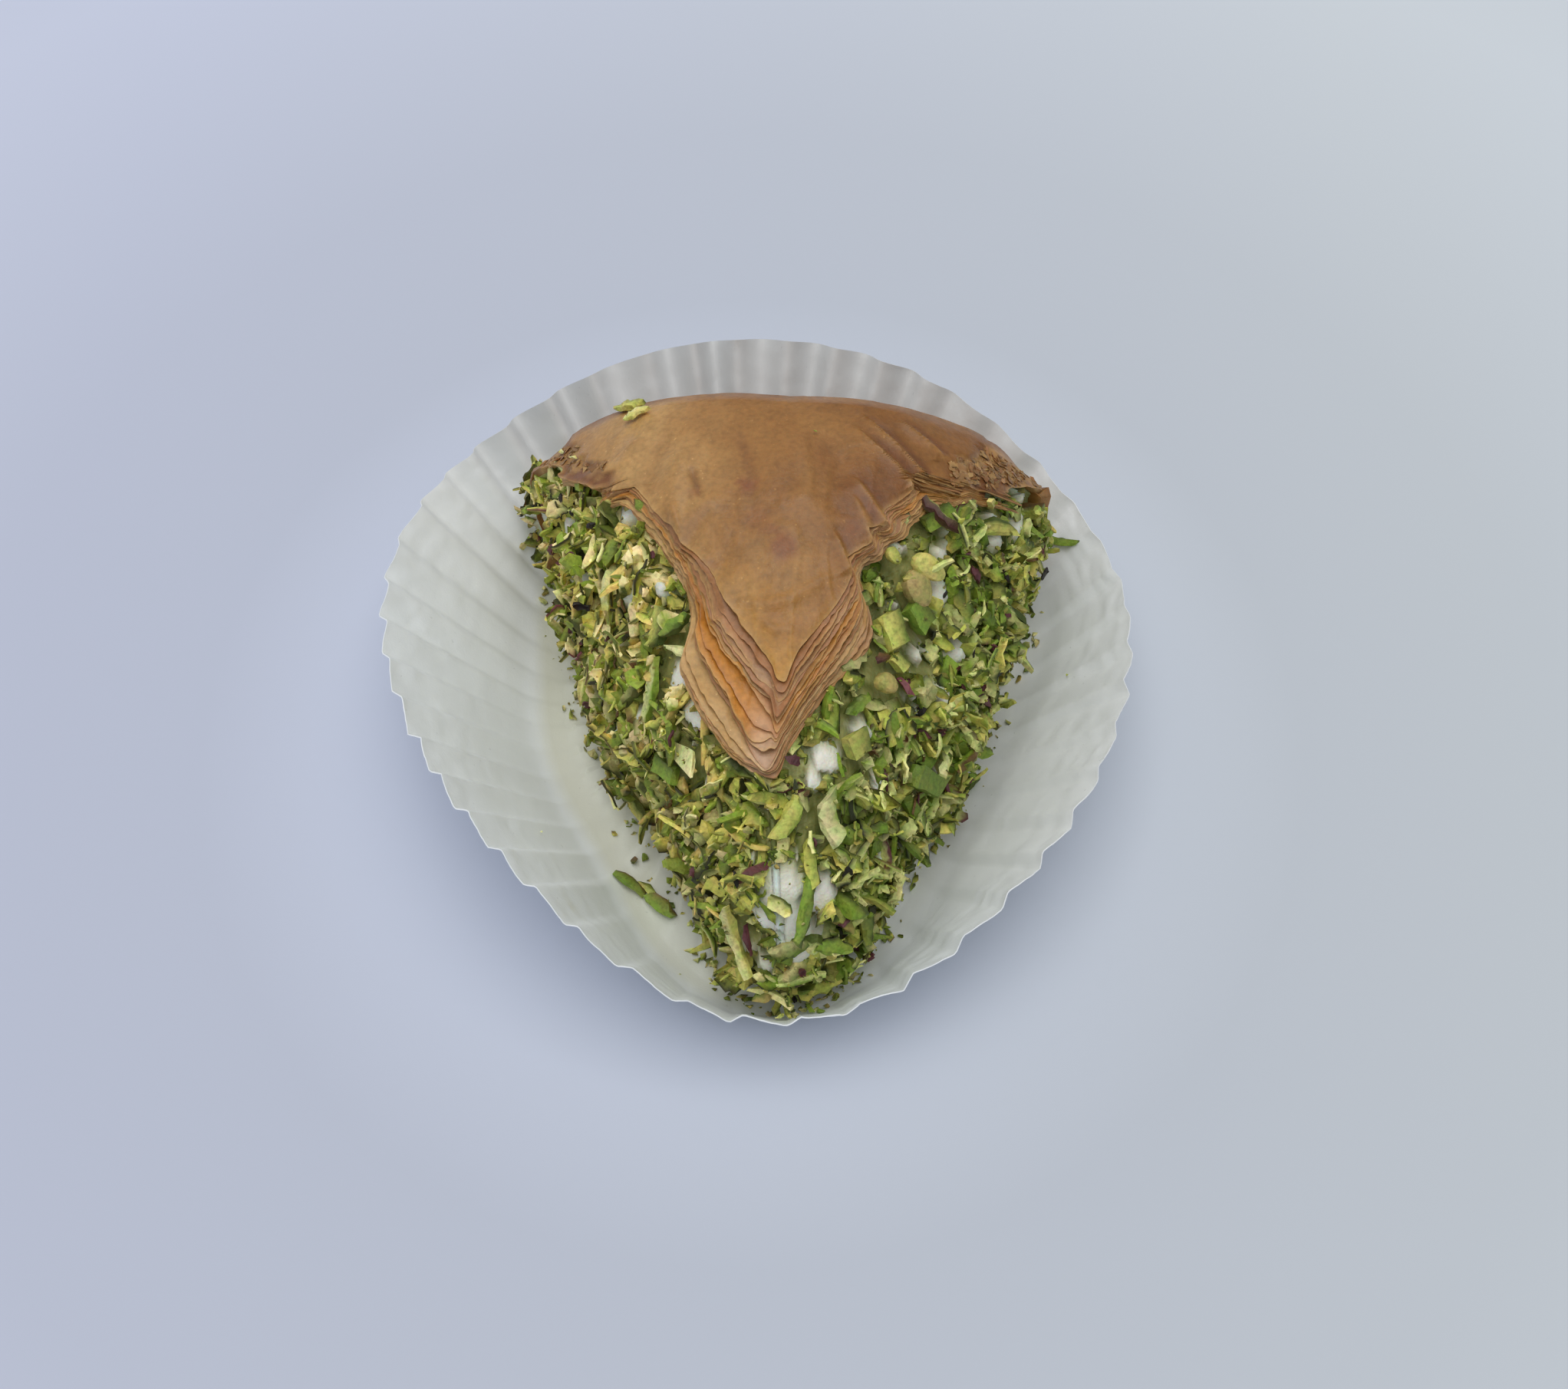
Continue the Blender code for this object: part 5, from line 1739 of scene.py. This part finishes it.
# Heroes: kind, the pixels of both ends, width and thickness in millimetres, and the colours
# of the cut and of the skin
HEROES = (
    ("blocks", (1136, 800), (1158, 850), 3.2, 2.6, CUT * 1.05, GREEN_SKIN * 1.6),
    ("blocks", (1172, 790), (1192, 822), 3.4, 2.0, GREEN_CUT * 0.9, GREEN_SKIN),
    ("kernels", (1172, 724), (1216, 752), 2.9, 2.4, YELLOW_CUT, CUT),
    ("kernels", (1170, 744), (1190, 792), 3.7, 2.6, YELLOW_CUT * (0.62, 0.58, 0.70), YELLOW_CUT * 0.6),
    ("kernels", (1148, 716), (1162, 736), 1.7, 1.4, CUT, GREEN_SKIN),
    ("chunks", (1174, 850), (1200, 872), 3.2, 2.2, CUT * 0.7, GREEN_SKIN),
    ("blocks", (1146, 858), (1164, 876), 1.8, 1.6, CUT, GREEN_SKIN),
    ("chunks", (1158, 892), (1186, 914), 2.6, 1.2, PURPLE_SKIN * 2.0, PURPLE_SKIN * 1.6),
    ("chunks", (1126, 866), (1150, 856), 1.7, 1.3, BROWN_SKIN * 1.3, PURPLE_SKIN),
    ("chunks", (1016, 984), (1038, 1000), 2.4, 1.4, PURPLE_SKIN, PURPLE_SKIN * 0.7),
    ("kernels", (1126, 886), (1150, 904), 2.4, 2.2, YELLOW_CUT * 0.7, BROWN_SKIN),
    ("shards", (884, 984), (932, 1000), 3.4, 1.2, PALE_CUT, PALE_CUT),
    ("blocks", (872, 990), (900, 1012), 2.4, 1.4, GREEN_CUT, GREEN_SKIN),
    ("slices", (876, 860), (862, 945), 2.2, 1.3, PALE_CUT, GREEN_CUT),
    ("slices", (888, 798), (874, 850), 2.6, 1.8, CUT, GREEN_SKIN),
    ("shavings", (876, 868), (912, 852), 1.6, 0.4, PALE_CUT, PALE_CUT),
    ("blocks", (1172, 1004), (1206, 1024), 3.2, 1.8, GREEN_CUT * 0.7, GREEN_CUT * 0.6),
    ("slices", (1096, 930), (1120, 905), 1.8, 1.2, GREEN_CUT, GREEN_SKIN),
    ("slices", (1062, 1034), (1072, 1096), 2.8, 1.6, PALE_CUT * 0.8, GREEN_CUT),
    ("slices", (1040, 1040), (1006, 1096), 2.4, 1.4, CUT, GREEN_CUT),
    ("slices", (1056, 1142), (1022, 1228), 1.7, 1.3, GREEN_CUT, GREEN_SKIN),
    ("slices", (958, 1160), (982, 1256), 2.0, 1.3, PALE_CUT, CUT * 0.9),
    ("slivers", (1190, 1040), (1150, 1160), 1.2, 0.9, PALE_CUT, BROWN_SKIN * 1.8),
    ("chunks", (1114, 1208), (1140, 1230), 2.6, 2.0, YELLOW_CUT * 1.1, YELLOW_CUT),
    ("skins", (982, 1206), (996, 1238), 1.0, 0.3, PURPLE_SKIN, PURPLE_SKIN),
    ("skins", (1044, 1014), (1052, 1044), 1.0, 0.3, PURPLE_SKIN, PURPLE_SKIN),
    ("skins", (1136, 1004), (1144, 1040), 0.9, 0.3, PURPLE_SKIN, BROWN_SKIN),
    ("slices", (1276, 890), (1322, 898), 1.8, 1.2, GREEN_SKIN, DARK_SKIN),
    ("slivers", (1246, 645), (1300, 662), 1.4, 1.0, YELLOW_CUT, CUT),
    ("slices", (1322, 640), (1350, 688), 1.8, 1.2, CUT, GREEN_CUT),
    ("slices", (1262, 690), (1304, 668), 2.4, 1.6, CUT, GREEN_SKIN),
    ("blocks", (1190, 688), (1224, 664), 2.4, 1.8, GREEN_CUT, GREEN_SKIN),
    ("blocks", (1098, 952), (1110, 984), 3.6, 2.0, CUT * 0.8, GREEN_SKIN * 1.3),
    ("chunks", (1104, 1002), (1130, 990), 2.4, 1.8, PALE_CUT * 0.9, GREEN_CUT),
    ("slices", (1232, 975), (1200, 1020), 1.8, 1.2, PALE_CUT * 0.9, CUT),
    ("slices", (905, 806), (884, 838), 2.0, 1.4, GREEN_CUT, GREEN_SKIN),
    ("slices", (802, 744), (822, 788), 2.4, 1.4, CUT, PALE_CUT),
    ("slices", (1300, 930), (1258, 958), 2.0, 1.2, GREEN_SKIN, DARK_SKIN),
    ("skins", (1258, 740), (1266, 760), 1.2, 0.3, PURPLE_SKIN, PURPLE_SKIN),
    ("skins", (766, 728), (776, 748), 1.3, 0.5, BLACK_SKIN, BLACK_SKIN),
    ("skins", (1266, 895), (1270, 915), 1.2, 0.4, PURPLE_SKIN, PURPLE_SKIN),
)


def hero_heaps(wall, heaps, taken):
    """Lays the heroes on the cream, and notes the places that they take."""
    draw = np.random.default_rng(29)
    for kind, start, end, width, thickness, cut, skin in HEROES:
        ends = [on_tree(wall.cream, pixel) for pixel in (start, end)]
        if None in ends:
            continue
        centre = (ends[0] + ends[1]) / 2
        normal = np.array(wall.cream.find_nearest(centre)[1])
        along = ends[1] - ends[0]
        shape = make_shape(kind, draw, along.length, width * MM, thickness * MM)
        lift = normal * (thickness * 0.5 + HERO_LIFT) * MM
        axes = axes_for(normal, along)
        heaps[kind].add(shape, axes, np.array(centre) + lift, half_green(cut, skin))
        start, end = (np.array(centre + along * share) for share in (-HERO_HALF, HERO_HALF))
        taken.append((start, end, HERO_WIDTH * width * MM))


LOOSE_LIFT = 0.3 * MM
SHORTEST_BIT = 0.5 * MM

# Loose bits on the paper and on the skin: kind, the pixels of both ends, width in
# millimetres, and the colours of the cut and of the skin
LOOSE = (
    ("slices", (1364, 704), (1406, 711), 1.3, GREEN_CUT, GREEN_SKIN),
    ("chunks", (1298, 826), (1308, 829), 0.9, DARK_SKIN, BLACK_SKIN),
    ("slices", (1012, 1310), (1052, 1302), 1.6, CUT, GREEN_SKIN),
    ("chunks", (1020, 1322), (1034, 1328), 1.4, CUT, CUT),
    ("chunks", (1052, 1318), (1062, 1322), 1.0, GREEN_CUT, GREEN_CUT),
    ("chunks", (1010, 1332), (1020, 1330), 1.2, CUT, PALE_CUT),
    ("slivers", (800, 1140), (838, 1172), 1.6, GREEN_CUT * 0.8, BROWN_SKIN),
    ("chunks", (822, 1120), (842, 1128), 1.6, BROWN_SKIN, GREEN_SKIN),
    ("slices", (846, 1168), (880, 1196), 2.0, GREEN_CUT, BROWN_SKIN),
    ("chunks", (884, 1122), (900, 1140), 2.2, PALE_CUT * 0.8, CUT * 0.8),
    ("slivers", (836, 1150), (868, 1186), 1.2, CUT, GREEN_SKIN),
    ("slices", (1276, 1020), (1246, 1044), 1.4, GREEN_CUT, GREEN_SKIN),
    ("chunks", (700, 1085), (704, 1088), 0.6, PALE_CUT, PALE_CUT),
    ("chunks", (1392, 880), (1396, 883), 0.5, CUT, CUT),
)
ON_SKIN = (
    ("slices", (808, 537), (838, 533), 1.8, CUT, GREEN_SKIN),
    ("slices", (818, 552), (846, 536), 1.5, YELLOW_CUT, PALE_CUT),
    ("chunks", (1060, 563), (1066, 567), 0.5, GREEN_CUT, GREEN_CUT),
    ("chunks", (1196, 642), (1204, 648), 1.0, CUT, CUT),
    ("chunks", (1188, 646), (1196, 652), 1.3, YELLOW_CUT, CUT),
    ("shards", (1214, 652), (1228, 660), 1.2, PALE_CUT, CUT),
    ("chunks", (1206, 656), (1212, 662), 0.9, CUT, GREEN_CUT),
    ("chunks", (748, 598), (758, 604), 1.3, PALE_CUT, CUT),
    ("chunks", (734, 588), (741, 594), 1.1, PALE_CUT * 0.9, CUT),
)


def loose_bits(heap, tree, bits):
    """Lays loose bits on a surface."""
    draw = np.random.default_rng(37)
    for kind, start, end, width, cut, skin in bits:
        found = [tree.ray_cast(CAMERA_PLACE, sight(pixel)) for pixel in (start, end)]
        ends = [hit[0] for hit in found]
        if None in ends:
            continue
        along = ends[1] - ends[0]
        thickness = 0.6 * width * MM
        normal = np.array(found[0][1])
        if normal @ np.array(sight(start)) > 0:  # it faces away from the camera
            normal = -normal
        length = max(along.length, SHORTEST_BIT)
        shape = make_shape(kind, draw, length, width * MM, thickness)
        lifted = np.array((ends[0] + ends[1]) / 2) + normal * (thickness / 2 + LOOSE_LIFT)
        heap.add(shape, axes_for(normal, along), lifted, half_green(cut, skin))


FALLEN = 260
DROP_HEIGHT = 12 * MM


def fallen_bits(heap, tree):
    """Crumbs that have fallen round the foot of the pastry."""
    draw = np.random.default_rng(41)
    first = int(SIDE_STEPS * FOLD_WRAP * 2)
    for _ in range(FALLEN):
        column = draw.integers(first, 2 * SIDE_COLUMNS - first)
        off = abs(draw.normal(0, 1.6)) * MM + 0.4 * MM
        plan = placed(np.array([(*(BASE[column] + OUTWARD[column] * off), 0)]))[0]
        start = Vector((plan[0], plan[1], DROP_HEIGHT))
        spot, facing = tree.ray_cast(start, Vector((0, 0, -1)))[:2]
        if spot is None or facing is None:
            continue
        length = draw.uniform(0.4, 2.2) * MM
        width, thickness = length * draw.uniform(0.4, 0.8), length * draw.uniform(0.3, 0.5)
        shape = chunk(draw, length, width, thickness, 9)
        normal = np.array(facing) if facing.z > 0 else -np.array(facing)
        axes = axes_for(normal, draw.normal(0, 1, 3))
        heap.add(shape, axes, np.array(spot) + normal * 0.15 * length, colours(draw, shade=0.8))


# ---------------------------------------------------------------- stage

FLOOR_SIZE = 6.0
LEFT_FLOOR = (0.58, 0.62, 0.77)
RIGHT_FLOOR = (0.62, 0.665, 0.72)
ACROSS_FLOOR = 0.11  # how far from the middle each side has its own colour
# Painted light on the floor: darker round the case, and lighter far out where the lamp's light falls off
PAINTED_LIGHT_REACH = 0.2  # over which the floor goes from dark round the case to light


def floor():
    """A floor, bluer on the left, with painted light on it: darker round the case and lighter far out."""
    nodes = Nodes("floor", Roughness=0.8)
    place = nodes.add("ShaderNodeTexCoord").outputs["Object"]
    across = nodes.add("ShaderNodeSeparateXYZ", Vector=place).outputs["X"]
    span = {"From_Min": -ACROSS_FLOOR, "From_Max": ACROSS_FLOOR}
    share = nodes.add("ShaderNodeMapRange", Value=across, **span).outputs["Result"]
    away = nodes.add("ShaderNodeVectorMath", {"operation": "LENGTH"})
    nodes.put(away.inputs[0], place)
    distance = away.outputs["Value"]
    ring = nodes.add("ShaderNodeMapRange", From_Min=0.0, From_Max=PAINTED_LIGHT_REACH, Value=distance)
    # painted light and shade in rings round the case
    painted_light_ring = nodes.ramp(ring.outputs["Result"], (0.26, 1.05), (0.40, 0.93), (0.6, 0.96), (1.0, 1.12))
    sides = nodes.ramp(share, (0.0, LEFT_FLOOR), (1.0, RIGHT_FLOOR))
    material = nodes.finish(nodes.product(sides, painted_light_ring))
    half = FLOOR_SIZE / 2
    corners = [(-half, -half, 0), (half, -half, 0), (half, half, 0), (-half, half, 0)]
    plane = new_object("floor", corners, [(0, 1, 2, 3)], material)


def light(name, place, aim, size, power, colour):
    """A square light that points at its aim."""
    data = bpy.data.lights.new(name, "AREA")
    data.size = size
    data.energy = power
    data.color = colour
    lamp = bpy.data.objects.new(name, data)
    lamp.location = place
    lamp.rotation_euler = (Vector(aim) - Vector(place)).to_track_quat("-Z", "Y").to_euler()
    bpy.context.scene.collection.objects.link(lamp)


SKY_SIDE = (-0.20, 0.14, 0.97)  # where the sky is brightest
SKY_DARK, SKY_BRIGHT = 0.12, 0.68


def lighting():
    """A soft sky that is brighter on one side, and a window over the pastry."""
    world = bpy.data.worlds.new("sky")
    world.use_nodes = True
    nodes = world.node_tree.nodes
    links = world.node_tree.links
    place = nodes.new("ShaderNodeTexCoord")
    towards = nodes.new("ShaderNodeVectorMath")
    towards.operation = "DOT_PRODUCT"
    towards.inputs[1].default_value = SKY_SIDE
    level = nodes.new("ShaderNodeMapRange")
    level.interpolation_type = "SMOOTHSTEP"
    for name, value in (("From Min", -0.2), ("From Max", 1.0), ("To Min", SKY_DARK), ("To Max", SKY_BRIGHT)):
        level.inputs[name].default_value = value
    links.new(place.outputs["Generated"], towards.inputs[0])
    links.new(towards.outputs["Value"], level.inputs["Value"])
    links.new(level.outputs["Result"], nodes["Background"].inputs["Strength"])
    nodes["Background"].inputs["Color"].default_value = (0.97, 0.99, 1.0, 1)
    bpy.context.scene.world = world
    light("window", (0.02, 0.05, 0.85), (0, 0, 0), 0.7, 2.9, (1.0, 0.995, 0.985))
    bpy.context.scene.view_settings.view_transform = "Standard"


# ---------------------------------------------------------------- the whole


def warbat():
    """All the pieces, with the nodes that they replace hidden, each attached to its body."""
    case = paper_case()
    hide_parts("paper_case")
    skin = phyllo_skin()
    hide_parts("phyllo")
    sheets = nose_sheets()
    flakes = wing_flakes()
    cream, wall_grid = cream_core()
    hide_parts("filling")
    wall = Wall(wall_grid, cream, (skin, *sheets), case)
    kinds = ("kernels", "blocks", "slices", "slivers", "shavings", "shards", "chunks", "crumbs", "skins")
    heaps = {kind: Heap("pistachio_" + kind) for kind in kinds}
    taken = []
    hero_heaps(wall, heaps, taken)
    scattered_heaps(wall, cream, heaps, taken)
    fallen = Heap("pistachio_fallen")
    case_tree = tree_of_mesh(case.data)
    loose_bits(fallen, case_tree, LOOSE)
    loose_bits(fallen, tree_of_mesh(skin.data), ON_SKIN)
    fallen_bits(fallen, case_tree)
    nuts = [heap.finish() for heap in (*heaps.values(), fallen)]
    slots = {"paper": (case,), "phyllo": (skin, *sheets, flakes), "pistachio": (cream, *nuts)}
    for slot, pieces in slots.items():
        for piece in pieces:
            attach(piece, "root")


add_camera()
lighting()
floor()
warbat()
